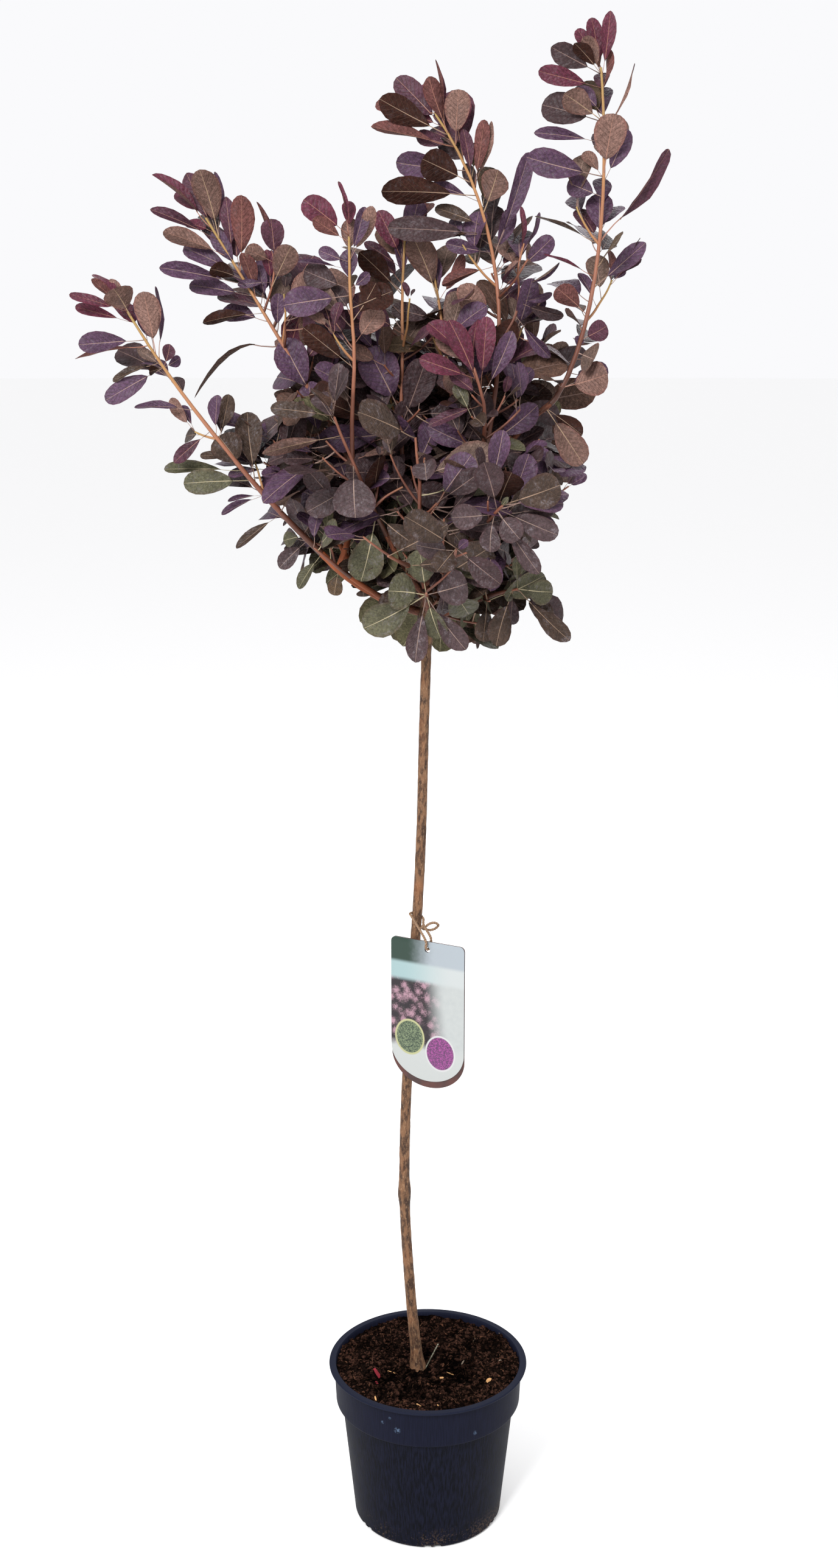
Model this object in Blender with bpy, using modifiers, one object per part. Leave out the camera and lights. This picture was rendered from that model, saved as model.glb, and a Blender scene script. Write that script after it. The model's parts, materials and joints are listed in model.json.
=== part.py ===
"""A smoke bush with purple leaves, grafted as a small standard tree, in its nursery pot.

Metres, +Z up. The origin is the centre of the pot's flat underside. +X is to the right and
+Y is away from the front. A heading is a compass angle seen from above, in degrees: 0 is to
the right, 90 is away from the front, 180 is to the left and 270 is towards the front. A climb
is the angle above the level, in degrees.
"""

import math
import random
from collections import namedtuple

import bmesh
import bpy
from mathutils import Matrix, Vector
from mathutils.kdtree import KDTree

CLEARANCE = 0.0003  # between pieces that touch

# Pot: a thin moulded wall with a wide band under its lip
RIM_RADIUS = 0.105
RIM_TOP = 0.174
LIP_HEIGHT = 0.0025
BAND_TOP_RADIUS = 0.0996
BAND_FOOT_RADIUS = 0.0978
BAND_FOOT = 0.131
BODY_TOP_RADIUS = 0.0915
BASE_RADIUS = 0.0785
BASE_CORNER = 0.004
POT_WALL = 0.002
POT_FLOOR = 0.0025
POT_SEGMENTS = 32

# The ring-shaped channel under the pot, its drain holes and the notches that let water out
CHANNEL_INNER_RADIUS = 0.058
CHANNEL_OUTER_RADIUS = 0.0725
CHANNEL_HEIGHT = 0.005
DRAIN_COUNT = 6
DRAIN_RADIUS = 0.004
NOTCH_HEADING = 273.5
NOTCH_SPACING = 0.0105
NOTCH_SIZE = Vector((0.012, 0.0075, 0.0052))

# Soil
SOIL_TOP = 0.160

# Trunk: sideways position at each height, from the soil to the fork
TRUNK_SWAY = ((0.1603, -0.0104), (0.26, -0.0190), (0.37, -0.0246), (0.52, -0.0205),
              (0.72, -0.0085), (0.88, -0.0040), (0.985, -0.0005))
TRUNK_FOOT_RADIUS = 0.0056
TRUNK_TOP_RADIUS = 0.0047
TRUNK_STEP = 0.045
ROOT_FLARE = 0.0045
ROOT_FLARE_HEIGHT = 0.014
FLARE_STATIONS = (0.003, 0.008, 0.016)  # heights over the soil
KNUCKLE_HEIGHT = 0.366
KNUCKLE_SWELL = 0.0014
KNUCKLE_REACH = 0.012
HEAD_HEIGHT = 0.968
HEAD_SWELL = 0.0055
HEAD_REACH = 0.016
TRUNK_SIDES = 10

# Boughs: the limb that each one leaves and how far along it, the length, the heading and
# climb at foot and tip, and the radius at foot and tip
Bough = namedtuple("Bough", "name parent at length foot tip foot_radius tip_radius")
BOUGHS = (
    Bough("bough_left", "trunk", 0.985, 0.120, (186, 12), (184, 48), 0.0042, 0.0032),
    Bough("bough_front", "trunk", 0.984, 0.070, (262, 44), (262, 64), 0.0038, 0.0028),
    Bough("bough_centre", "trunk", 0.988, 0.150, (12, 58), (14, 80), 0.0042, 0.0028),
    Bough("bough_upper_left", "trunk", 0.990, 0.130, (150, 60), (168, 60), 0.0038, 0.0028),
    Bough("bough_back", "trunk", 0.980, 0.095, (88, 42), (86, 62), 0.0038, 0.0028),
    Bough("bough_right_low", "trunk", 0.977, 0.110, (342, 44), (350, 56), 0.0034, 0.0026),
    Bough("bough_low_front", "trunk", 0.976, 0.062, (268, 36), (268, 24), 0.0028, 0.0024),
    Bough("bough_low_right", "trunk", 0.972, 0.072, (330, 34), (334, 18), 0.0028, 0.0024),
    Bough("bough_low_back", "trunk", 0.970, 0.060, (80, 26), (84, 14), 0.0028, 0.0024),
    Bough("bough_low_left", "bough_left", 0.35, 0.050, (222, 26), (212, 36), 0.0026, 0.0024),
    Bough("bough_left_upright", "bough_left", 0.82, 0.085, (330, 62), (220, 86), 0.0028, 0.0025),
    Bough("bough_left_mid", "bough_left", 0.62, 0.070, (150, 68), (170, 54), 0.0026, 0.0024),
    Bough("bough_left_back", "bough_left", 0.22, 0.090, (120, 40), (130, 54), 0.0028, 0.0025),
    Bough("bough_centre_left", "bough_upper_left", 0.40, 0.075, (90, 78), (110, 86),
          0.0027, 0.0025),
    Bough("bough_front_left", "bough_front", 0.35, 0.075, (214, 48), (208, 62), 0.0027, 0.0025),
    Bough("bough_front_mid", "bough_front", 0.76, 0.045, (250, 24), (246, 14), 0.0026, 0.0024),
    Bough("bough_front_core", "bough_front", 0.92, 0.062, (298, 8), (284, 12), 0.0026, 0.0024),
    Bough("bough_front_low", "bough_front", 0.60, 0.080, (318, 34), (306, 40), 0.0027, 0.0025),
    Bough("bough_centre_thin", "bough_centre", 0.50, 0.070, (100, 66), (110, 82),
          0.0026, 0.0024),
    Bough("bough_right", "bough_centre", 0.92, 0.095, (2, 54), (0, 38), 0.0027, 0.0026),
    Bough("bough_front_right", "bough_centre", 0.74, 0.060, (286, 44), (280, 72),
          0.0026, 0.0024),
    Bough("bough_back_right", "bough_back", 0.40, 0.095, (34, 42), (38, 58), 0.0028, 0.0025),
    Bough("bough_back_left", "bough_back", 0.55, 0.080, (140, 44), (134, 60), 0.0028, 0.0025),
)
BOUGH_SIDES = 6
ROUTE_STEP = 0.024
SWAY_SHARE = 0.010  # sideways wander of a limb, as a share of its length
SWAY_WAVES = 1.5

# Masses of foliage: the bough whose tip each grows on from, the length of its stem, the
# heading and climb at the stem's tip, how soon it turns that way (1 evenly, less is sooner),
# the leaves on the stem, the share of the stem that is bare at its foot, the longest blade,
# how far the leaves stand out at foot and tip, in degrees, and the number, length and leaves
# of its side twigs
Mass = namedtuple(
    "Mass", "name bough length tip ease leaves bare blade spread twigs twig_length twig_leaves"
)
MASSES = (
    Mass("foliage_left", "bough_left", 0.292, (184, 60), 1.0, 17, 0.06, 0.054, (72, 26),
         2, 0.03, 3),
    Mass("foliage_left_upright", "bough_left_upright", 0.225, (160, 88), 1.0, 14, 0.06, 0.056,
         (66, 22), 2, 0.04, 4),
    Mass("foliage_upper_left", "bough_upper_left", 0.295, (178, 58), 1.0, 20, 0.04, 0.058,
         (74, 26), 3, 0.05, 4),
    Mass("foliage_centre_left", "bough_centre_left", 0.230, (60, 84), 1.0, 17, 0.04, 0.060,
         (74, 30), 3, 0.05, 4),
    Mass("foliage_centre_thin", "bough_centre_thin", 0.200, (180, 78), 1.0, 12, 0.10, 0.056,
         (70, 24), 2, 0.04, 3),
    Mass("foliage_centre", "bough_centre", 0.335, (180, 52), 1.4, 19, 0.04, 0.062, (70, 24),
         2, 0.05, 4),
    Mass("foliage_right", "bough_right", 0.310, (180, 84), 0.3, 19, 0.03, 0.058, (72, 26),
         2, 0.05, 3),
    Mass("foliage_front_right", "bough_front_right", 0.085, (200, 66), 1.0, 12, 0.10, 0.060,
         (80, 26), 2, 0.04, 3),
    Mass("foliage_front", "bough_front", 0.155, (250, 82), 1.0, 18, 0.04, 0.066, (84, 44),
         3, 0.05, 4),
    Mass("foliage_front_left", "bough_front_left", 0.125, (206, 68), 1.0, 14, 0.05, 0.062,
         (84, 46), 3, 0.05, 4),
    Mass("foliage_front_mid", "bough_front_mid", 0.040, (240, 20), 1.0, 9, 0.15, 0.060,
         (94, 66), 2, 0.03, 3),
    Mass("foliage_front_core", "bough_front_core", 0.044, (272, 36), 1.0, 11, 0.10, 0.058,
         (98, 66), 1, 0.03, 3),
    Mass("foliage_front_low", "bough_front_low", 0.060, (300, 30), 1.0, 10, 0.15, 0.060,
         (94, 64), 2, 0.03, 3),
    Mass("foliage_right_low", "bough_right_low", 0.130, (2, 60), 1.0, 15, 0.05, 0.062,
         (84, 38), 3, 0.05, 4),
    Mass("foliage_low_front", "bough_low_front", 0.032, (268, 28), 1.0, 10, 0.15, 0.055,
         (92, 66), 1, 0.02, 2),
    Mass("foliage_low_right", "bough_low_right", 0.034, (318, 10), 1.0, 10, 0.20, 0.060,
         (98, 66), 1, 0.02, 2),
    Mass("foliage_low_back", "bough_low_back", 0.070, (88, 20), 1.0, 10, 0.12, 0.060,
         (94, 50), 1, 0.04, 3),
    Mass("foliage_low_left", "bough_low_left", 0.050, (206, 40), 1.0, 8, 0.12, 0.046,
         (88, 50), 1, 0.03, 2),
    Mass("foliage_left_mid", "bough_left_mid", 0.090, (190, 58), 1.0, 11, 0.06, 0.058,
         (84, 42), 2, 0.04, 3),
    Mass("foliage_left_back", "bough_left_back", 0.160, (140, 68), 1.0, 14, 0.05, 0.060,
         (82, 36), 2, 0.05, 4),
    Mass("foliage_back", "bough_back", 0.180, (90, 80), 1.0, 16, 0.05, 0.062, (82, 36),
         3, 0.05, 4),
    Mass("foliage_back_right", "bough_back_right", 0.165, (40, 72), 1.0, 14, 0.05, 0.062,
         (82, 36), 2, 0.05, 4),
    Mass("foliage_back_left", "bough_back_left", 0.140, (136, 76), 1.0, 12, 0.05, 0.060,
         (82, 36), 2, 0.05, 4),
)
TWIG_SIDES = 3
STEM_SOCKET = 0.004  # the straight foot of a stem
TWIG_TIP_RADIUS = 0.0020
SIDE_TWIG_RADIUS = 0.0022
SIDE_TWIG_SPREAD = 48
SIDE_TWIG_RANGE = (0.15, 0.6)  # where side twigs leave the stem, as shares of its length
SIDE_TWIG_BARE = 0.25
SIDE_BLADE_SHARE = 0.9
SIDE_LEAF_SPREAD = (66, 30)
GOLDEN_ANGLE = 137.5

# Leaves: a slender stalk and a blade that is widest past its middle, with a blunt tip
STALK_WIDTH = 0.0013
STALK_SHARE = 0.36  # of the blade's length
BLADE_WIDTH_SHARE = 0.62
BLADE_WIDEST = 0.60
BLADE_TIP_SHARE = 0.42  # of the blade's width, at its very end
LEAF_THICKNESS_SHARE = 0.0125  # of the length of stalk and blade
LEAF_ARCH = 0.10  # how far the blade's end hangs, as a share of its length
LEAF_DROOP = 0.22
LEAF_ROLL = 28
LEAF_OUTLOOK = 0.6
LOOKS_BACK_FROM = 0.06
LEAF_SPACING = 0.004  # between the blades of one mass
LEAF_CROWDING = 0.80  # under 1, leaves stand closer together towards the tip
LEAF_TRIES = ((0, 1.0), (28, 1.0), (-28, 1.0), (56, 0.9), (-56, 0.9), (14, 0.72), (-70, 0.72))

# The space of a mass: nearer to its own stems than to any other mass's, and clear of limbs
SPACE_MARGIN = 0.0012
LIMB_MARGIN = 0.0015
SAMPLE_STEP = 0.006

# Label: two cards on one twine, turned so that the right side is nearer the front
LABEL_WIDTH = 0.083
LABEL_HEIGHT = 0.148
LABEL_CORNER = 0.005
LABEL_BOWL = 0.034  # height of the rounded foot
LABEL_THICKNESS = 0.0012
LABEL_TURN = -29
LABEL_TOP = Vector((-0.001, -0.0202, 0.647))
LABEL_BACK_DROP = 0.0075
HOLE_DROP = 0.0085
HOLE_RADIUS = 0.003
TWINE_RADIUS = 0.0008
TWINE_HEIGHT = 0.664
TWINE_SLACK = 0.0014
TWINE_SIDES = 4

BARK = (0.19, 0.115, 0.075, 1)
YOUNG_BARK = (0.24, 0.075, 0.035, 1)
LEAF_PURPLE = (0.075, 0.045, 0.085, 1)
SOIL_BROWN = (0.035, 0.018, 0.010, 1)
POT_BLACK = (0.010, 0.011, 0.018, 1)
CARD_GREEN = (0.42, 0.55, 0.52, 1)
CARD_BACK = (0.18, 0.03, 0.02, 1)
TWINE_TAN = (0.42, 0.25, 0.12, 1)


def clear_scene():
    for thing in list(bpy.data.objects):
        bpy.data.objects.remove(thing, do_unlink=True)


def collection(name):
    made = bpy.data.collections.new(name)
    bpy.context.scene.collection.children.link(made)
    return made


def material(name, colour, roughness):
    made = bpy.data.materials.new(name)
    made.use_nodes = True
    shader = made.node_tree.nodes["Principled BSDF"]
    shader.inputs["Base Color"].default_value = colour
    shader.inputs["Roughness"].default_value = roughness
    shader.inputs["Metallic"].default_value = 0
    return made


def add(name, data, group, finish=None):
    made = bpy.data.objects.new(name, data)
    group.objects.link(made)
    if finish:
        data.materials.append(finish)
    return made


def direction(aim):
    """Unit vector of a (heading, climb) pair in degrees."""
    heading, climb = (math.radians(angle) for angle in aim)
    level = math.cos(climb)
    return Vector((level * math.cos(heading), level * math.sin(heading), math.sin(climb)))


def along(points, share):
    """Place and direction at a share of the length of a route."""
    lengths = [(b - a).length for a, b in zip(points, points[1:])]
    left = share * sum(lengths)
    for a, b, length in zip(points, points[1:], lengths):
        if left <= length:
            break
        left -= length
    way = (b - a).normalized()
    return a + way * min(left, length), way


def bend(start, foot, tip, length, ease=1.0):
    """Points along a limb that turns from one direction to another and wanders a little."""
    steps = max(4, round(length / ROUTE_STEP))
    side = foot.cross(tip + Vector((0.3, 0.2, 1))).normalized()
    points = [start.copy()]
    for step in range(steps):
        turn = ((step + 0.5) / steps) ** ease
        points.append(points[-1] + foot.slerp(tip, turn) * (length / steps))
    for step, point in enumerate(points):
        share = step / steps
        wander = math.sin(math.pi * share) * math.sin(2 * math.pi * SWAY_WAVES * share)
        point += side * (wander * SWAY_SHARE * length)
    return points


def smooth_through(stations, step):
    """(height, side) pairs of a smooth curve through the given stations."""
    result = []
    for i in range(len(stations) - 1):
        before = stations[max(i - 1, 0)]
        a, b = stations[i], stations[i + 1]
        after = stations[min(i + 2, len(stations) - 1)]
        slope_a = (b[1] - before[1]) / (b[0] - before[0])
        slope_b = (after[1] - a[1]) / (after[0] - a[0])
        span = b[0] - a[0]
        count = max(1, round(span / step))
        for k in range(count):
            t = k / count
            side = (
                (2 * t**3 - 3 * t**2 + 1) * a[1]
                + (t**3 - 2 * t**2 + t) * span * slope_a
                + (3 * t**2 - 2 * t**3) * b[1]
                + (t**3 - t**2) * span * slope_b
            )
            result.append((a[0] + t * span, side))
    result.append(stations[-1])
    return result


def trunk_radius(height):
    """Taper from foot to fork, with the root flare, one old knuckle and the grafted head."""
    foot, top = TRUNK_SWAY[0][0], TRUNK_SWAY[-1][0]
    share = (height - foot) / (top - foot)
    radius = TRUNK_FOOT_RADIUS + (TRUNK_TOP_RADIUS - TRUNK_FOOT_RADIUS) * share
    radius += ROOT_FLARE * math.exp(-(height - foot) / ROOT_FLARE_HEIGHT)
    radius += KNUCKLE_SWELL * math.exp(-(((height - KNUCKLE_HEIGHT) / KNUCKLE_REACH) ** 2))
    radius += HEAD_SWELL * math.exp(-(((height - HEAD_HEIGHT) / HEAD_REACH) ** 2))
    return radius


def trunk_route():
    """Points and radii of the trunk, upright where it is cut flat at the soil."""
    stations = smooth_through(TRUNK_SWAY, TRUNK_STEP)
    foot, side = stations[0]
    flare = [(foot + rise, side) for rise in FLARE_STATIONS]
    head = [HEAD_HEIGHT + step * HEAD_REACH / 2 for step in range(-3, 2)]
    rest = [station for station in stations[1:] if station[0] < head[0] - 0.004]
    places = [stations[0], *flare, *rest, *((z, stations[-1][1]) for z in head), stations[-1]]
    points = [Vector((side, 0, z)) for z, side in places]
    return points, [trunk_radius(z) for z, side in places]


def curve_tube(name, points, radii, sides, group, closed=False):
    """A closed mesh swept along points, with a radius at each."""
    curve = bpy.data.curves.new(name, "CURVE")
    curve.dimensions = "3D"
    curve.use_fill_caps = not closed
    section = None
    if sides == 3:
        section = three_sided(max(radii), group)
        curve.bevel_mode = "OBJECT"
        curve.bevel_object = section
    else:
        curve.bevel_depth = max(radii)
        curve.bevel_resolution = (sides - 4) // 2
    spline = curve.splines.new("POLY")
    spline.points.add(len(points) - 1)
    spline.use_cyclic_u = closed
    for spot, point, radius in zip(spline.points, points, radii):
        spot.co = (*point, 1)
        spot.radius = radius / max(radii)
    guide = add(name + "_guide", curve, group)
    bpy.context.view_layer.update()
    graph = bpy.context.evaluated_depsgraph_get()
    mesh = bpy.data.meshes.new_from_object(guide.evaluated_get(graph))
    bpy.data.objects.remove(guide)
    bpy.data.curves.remove(curve)
    if section:
        bpy.data.objects.remove(section)
    weld(mesh)
    return add(name, mesh, group)


def three_sided(radius, group):
    """The outline of a three-sided twig."""
    curve = bpy.data.curves.new("three_sided", "CURVE")
    curve.dimensions = "2D"
    corners = [math.radians(120 * k) for k in range(3)]
    add_loop(curve, [(radius * math.cos(a), radius * math.sin(a)) for a in corners])
    return add("three_sided", curve, group)


def weld(mesh):
    """Joins a tube's caps to its wall."""
    work = bmesh.new()
    work.from_mesh(mesh)
    bmesh.ops.remove_doubles(work, verts=work.verts, dist=0.00001)
    bmesh.ops.recalc_face_normals(work, faces=work.faces)
    work.to_mesh(mesh)
    work.free()


def as_cutter(thing):
    thing.hide_render = True
    thing.display_type = "WIRE"


def tapered(foot, tip, count):
    """Radii that shrink evenly from foot to tip."""
    return [foot + (tip - foot) * k / (count - 1) for k in range(count)]


def limb_routes():
    """Points and radii of the trunk and of every bough, by name."""
    routes = {"trunk": trunk_route()}
    for bough in BOUGHS:
        start = along(routes[bough.parent][0], bough.at)[0]
        points = bend(start, direction(bough.foot), direction(bough.tip), bough.length)
        routes[bough.name] = points, tapered(bough.foot_radius, bough.tip_radius, len(points))
    return routes


def build_limbs(routes, parts, cutters):
    """The trunk, and each bough with its foot cut to the limb that it leaves."""
    old, young = material("Bark", BARK, 0.8), material("Young bark", YOUNG_BARK, 0.7)
    trunk = curve_tube("trunk", *routes["trunk"], TRUNK_SIDES, parts)
    finish_round(trunk, old)
    for bough in BOUGHS:
        limb = curve_tube(bough.name, *routes[bough.name], BOUGH_SIDES, parts)
        points, radii = routes[bough.parent]
        wide = [radius + CLEARANCE for radius in radii]
        sides = TRUNK_SIDES if bough.parent == "trunk" else BOUGH_SIDES
        cutter = curve_tube(bough.name + "_seat", points, wide, sides, cutters)
        as_cutter(cutter)
        cut = limb.modifiers.new("Seat on its parent", "BOOLEAN")
        cut.operation = "DIFFERENCE"
        cut.object = cutter
        finish_round(limb, young)


def finish_round(thing, finish, angle=40):
    thing.data.materials.clear()
    thing.data.materials.append(finish)
    thing.data.shade_smooth()
    thing.data.set_sharp_from_angle(angle=math.radians(angle))


Leaf = namedtuple("Leaf", "root axis up stalk blade width")


def leaf_point(leaf, share, side):
    """A point of the leaf: share runs along the blade, side is in half widths."""
    hang = LEAF_ARCH * leaf.blade * max(share, 0) ** 2
    across = leaf.axis.cross(leaf.up)
    reach = leaf.stalk + share * leaf.blade
    return leaf.root + leaf.axis * reach + across * (side * leaf.width / 2) - leaf.up * hang


def leaf_samples(leaf):
    """Points all over the leaf, for the tests of its space."""
    spots = [(share, 0) for share in (-0.2, 0, 0.2, 0.4, 0.6, 0.8, 1)]
    spots += [(share, side) for side in (-1, 1) for share in (0.4, BLADE_WIDEST, 0.8)]
    spots += [(1, side * BLADE_TIP_SHARE) for side in (-1, 1)]
    spots += [(share, side * 0.55) for side in (-1, 1) for share in (0.25, 0.5, 0.75)]
    return [leaf_point(leaf, share, side) for share, side in spots]


def leaf_mesh(leaf):
    """A thin blade on its stalk: a loft of flat triangles with the midrib as their lower edge."""
    root = (-leaf.stalk / leaf.blade, STALK_WIDTH / leaf.width, STALK_WIDTH * 0.8)
    widest = (BLADE_WIDEST, 1, (leaf.stalk + leaf.blade) * LEAF_THICKNESS_SHARE)
    work = bmesh.new()
    rings = []
    for share, side, depth in (root, widest):
        left, right = leaf_point(leaf, share, -side), leaf_point(leaf, share, side)
        low = leaf_point(leaf, share, 0) - leaf.up * depth
        rings.append([work.verts.new(point) for point in (left, right, low)])
    work.faces.new(rings[0])
    for k in range(3):
        n = (k + 1) % 3
        work.faces.new((rings[0][k], rings[0][n], rings[1][n], rings[1][k]))
    left, right, low = rings[1]
    tips = [work.verts.new(leaf_point(leaf, 1, side * BLADE_TIP_SHARE)) for side in (-1, 1)]
    work.faces.new((left, right, tips[1], tips[0]))
    work.faces.new((left, tips[0], low))
    work.faces.new((low, tips[0], tips[1]))
    work.faces.new((low, tips[1], right))
    bmesh.ops.triangulate(work, faces=work.faces)
    bmesh.ops.recalc_face_normals(work, faces=work.faces)
    mesh = bpy.data.meshes.new("leaf")
    work.to_mesh(mesh)
    work.free()
    return mesh


class Space:
    """Which points belong to which mass, and how near the limbs are."""

    def __init__(self, stems, routes):
        spots = [(point, name) for name, points in stems.items() for point in dense(points)]
        self.owners = [name for point, name in spots]
        self.stems = tree_of([point for point, name in spots])
        limbs = []
        for points, radii in routes.values():
            fine = dense(points)
            for k, point in enumerate(fine):
                place = k / (len(fine) - 1) * (len(radii) - 1)
                limbs.append((point, radii[min(round(place), len(radii) - 1)]))
        self.limb_radii = [radius for point, radius in limbs]
        self.limbs = tree_of([point for point, radius in limbs])

    def holds(self, owner, point):
        own = self.stems.find(point, filter=lambda i: self.owners[i] == owner)[2]
        other = self.stems.find(point, filter=lambda i: self.owners[i] != owner)[2]
        if own + 2 * SPACE_MARGIN > other:
            return False
        near = self.limbs.find_range(point, 0.02)
        return all(gap > self.limb_radii[i] + LIMB_MARGIN for place, i, gap in near)


def dense(points):
    """Points every few millimetres along a route."""
    total = sum((b - a).length for a, b in zip(points, points[1:]))
    count = max(2, math.ceil(total / SAMPLE_STEP))
    return [along(points, k / count)[0] for k in range(count + 1)]


def tree_of(points):
    tree = KDTree(len(points))
    for index, point in enumerate(points):
        tree.insert(point, index)
    tree.balance()
    return tree


def around(way, turn):
    """Unit vector square to a direction, at an angle around it in degrees."""
    side = way.cross(Vector((0.13, -0.99, 0.02))).normalized()
    return Matrix.Rotation(math.radians(turn), 3, way) @ side


def leaning(way, turn, spread):
    """Direction that leans out from a stem by spread degrees, at a turn around it."""
    angle = math.radians(spread)
    return (way * math.cos(angle) + around(way, turn) * math.sin(angle)).normalized()


def make_leaf(root, way, turn, spread, blade, droop, roll):
    """A leaf whose upper side looks along the stem, to the sky and out of the crown."""
    axis = (leaning(way, turn, spread) - Vector((0, 0, droop))).normalized()
    outward = -1 if root.y < LOOKS_BACK_FROM else 1
    up = way * 0.45 + Vector((0, outward * LEAF_OUTLOOK, 0.3))
    up = Matrix.Rotation(math.radians(roll), 3, axis) @ (up - axis * up.dot(axis)).normalized()
    return Leaf(root, axis, up, blade * STALK_SHARE, blade, blade * BLADE_WIDTH_SHARE)


def leaves_along(points, count, bare, blade, spread, rng, fits):
    """Leaves in a spiral up one stem, each turned or shortened until it fits its space."""
    leaves = []
    first = rng.uniform(0, 360)
    for k in range(count):
        share = ((k + 1) / count) ** LEAF_CROWDING
        root, way = along(points, bare + (0.995 - bare) * share)
        size = blade * (1 - 0.38 * share**2) * rng.uniform(0.86, 1.08)
        stand = spread[0] + (spread[1] - spread[0]) * share + rng.uniform(-8, 8)
        turn = first + k * GOLDEN_ANGLE + rng.uniform(-12, 12)
        roll = rng.uniform(-LEAF_ROLL, LEAF_ROLL)
        for shift, scale in LEAF_TRIES:
            droop = LEAF_DROOP * (1 - share)
            leaf = make_leaf(root, way, turn + shift, stand, size * scale, droop, roll)
            if fits(leaf):
                leaves.append(leaf)
                break
    return leaves


def side_twigs(mass, stem, rng, space):
    """Short twigs that leave the stem at the golden angle and turn upwards."""
    twigs = []
    for k in range(mass.twigs):
        low, high = SIDE_TWIG_RANGE
        root, way = along(stem, low + (high - low) * (k + 0.5) / mass.twigs)
        for shift in (0, 90, 180, 270):
            turn = k * GOLDEN_ANGLE + shift + rng.uniform(0, 60)
            foot = leaning(way, turn, SIDE_TWIG_SPREAD)
            tip = (foot + way * 0.8 + Vector((0, 0, 0.3))).normalized()
            points = bend(root, foot, tip, mass.twig_length * rng.uniform(0.85, 1.15))
            if all(space.holds(mass.name, point) for point in points[2:]):
                twigs.append(points)
                break
    return twigs


def mass_stem(mass, routes):
    """The stem of a mass, growing on square from the tip of its bough."""
    points, radii = routes[mass.bough]
    way = (points[-1] - points[-2]).normalized()
    start = points[-1] + way * CLEARANCE
    bent = bend(start + way * STEM_SOCKET, way, direction(mass.tip), mass.length, mass.ease)
    return [start, *bent]


def grow(mass, stem, space, seed):
    """The side twigs and leaves of a mass."""
    rng = random.Random(seed)
    taken = []

    def fits(leaf):
        spots = leaf_samples(leaf)
        if not all(space.holds(mass.name, point) for point in spots):
            return False
        blade = spots[1:]
        if any((a - b).length < LEAF_SPACING for a in blade for b in taken):
            return False
        taken.extend(blade)
        return True

    twigs = side_twigs(mass, stem, rng, space)
    leaves = leaves_along(stem, mass.leaves, mass.bare, mass.blade, mass.spread, rng, fits)
    for twig in twigs:
        leaves += leaves_along(
            twig, mass.twig_leaves, SIDE_TWIG_BARE, mass.blade * SIDE_BLADE_SHARE,
            SIDE_LEAF_SPREAD, rng, fits,
        )
    return twigs, leaves


def build_mass(mass, stem, twigs, leaves, foot_radius, parts, finish):
    """Fuses the twigs and leaves of a mass on its stem, as one closed body."""
    radii = tapered(foot_radius, TWIG_TIP_RADIUS, len(stem))
    body = curve_tube(mass.name, stem, radii, TWIG_SIDES, parts)
    shoots = collection(mass.name + "_shoots")
    for twig in twigs:
        radii = tapered(SIDE_TWIG_RADIUS, TWIG_TIP_RADIUS, len(twig))
        curve_tube(mass.name + "_twig", twig, radii, TWIG_SIDES, shoots)
    for leaf in leaves:
        add(mass.name + "_leaf", leaf_mesh(leaf), shoots)
    fuse = body.modifiers.new("Fused shoots", "BOOLEAN")
    fuse.operation = "UNION"
    fuse.operand_type = "COLLECTION"
    fuse.collection = shoots
    fuse.solver = "MANIFOLD"
    bpy.context.view_layer.update()
    graph = bpy.context.evaluated_depsgraph_get()
    fused = bpy.data.meshes.new_from_object(body.evaluated_get(graph))
    body.modifiers.clear()
    body.data = fused
    for thing in list(shoots.objects):
        bpy.data.objects.remove(thing)
    bpy.data.collections.remove(shoots)
    keep_outer_body(fused)
    fused.materials.clear()
    fused.materials.append(finish)
    return body


def islands(work):
    """Groups of faces that hang together."""
    left = set(work.faces)
    while left:
        group, edge = set(), [left.pop()]
        while edge:
            face = edge.pop()
            group.add(face)
            for side in face.edges:
                for other in side.link_faces:
                    if other in left:
                        left.discard(other)
                        edge.append(other)
        yield group


def keep_outer_body(mesh):
    """Drops loose scraps and fills sealed hollows, which leaves the one largest shell."""
    work = bmesh.new()
    work.from_mesh(mesh)
    bmesh.ops.triangulate(work, faces=work.faces)
    shells = sorted(islands(work), key=len)
    spare = [face for shell in shells[:-1] for face in shell]
    bmesh.ops.delete(work, geom=spare, context="FACES")
    loose = [vertex for vertex in work.verts if not vertex.link_faces]
    bmesh.ops.delete(work, geom=loose, context="VERTS")
    work.to_mesh(mesh)
    work.free()


def build_foliage(routes, parts):
    """Every mass of foliage."""
    finish = material("Purple leaves", LEAF_PURPLE, 0.6)
    stems = {mass.name: mass_stem(mass, routes) for mass in MASSES}
    space = Space(stems, routes)
    for seed, mass in enumerate(MASSES):
        stem = stems[mass.name]
        twigs, leaves = grow(mass, stem, space, seed)
        foot_radius = routes[mass.bough][1][-1]
        body = build_mass(mass, stem, twigs, leaves, foot_radius, parts, finish)
        faces = len(body.data.polygons)
        print(f"{mass.name}: {len(twigs)} side twigs, {len(leaves)} leaves, {faces} triangles")


def turned(name, profile, group, segments):
    """A solid turned round the Z axis from its profile of (radius, height) pairs."""
    mesh = bpy.data.meshes.new(name)
    edges = [(i, i + 1) for i in range(len(profile) - 1)]
    mesh.from_pydata([(radius, 0, height) for radius, height in profile], edges, [])
    made = add(name, mesh, group)
    spin = made.modifiers.new("Turned", "SCREW")
    spin.steps = segments
    spin.render_steps = segments
    spin.use_merge_vertices = True
    spin.merge_threshold = 0.00005
    return made


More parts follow.
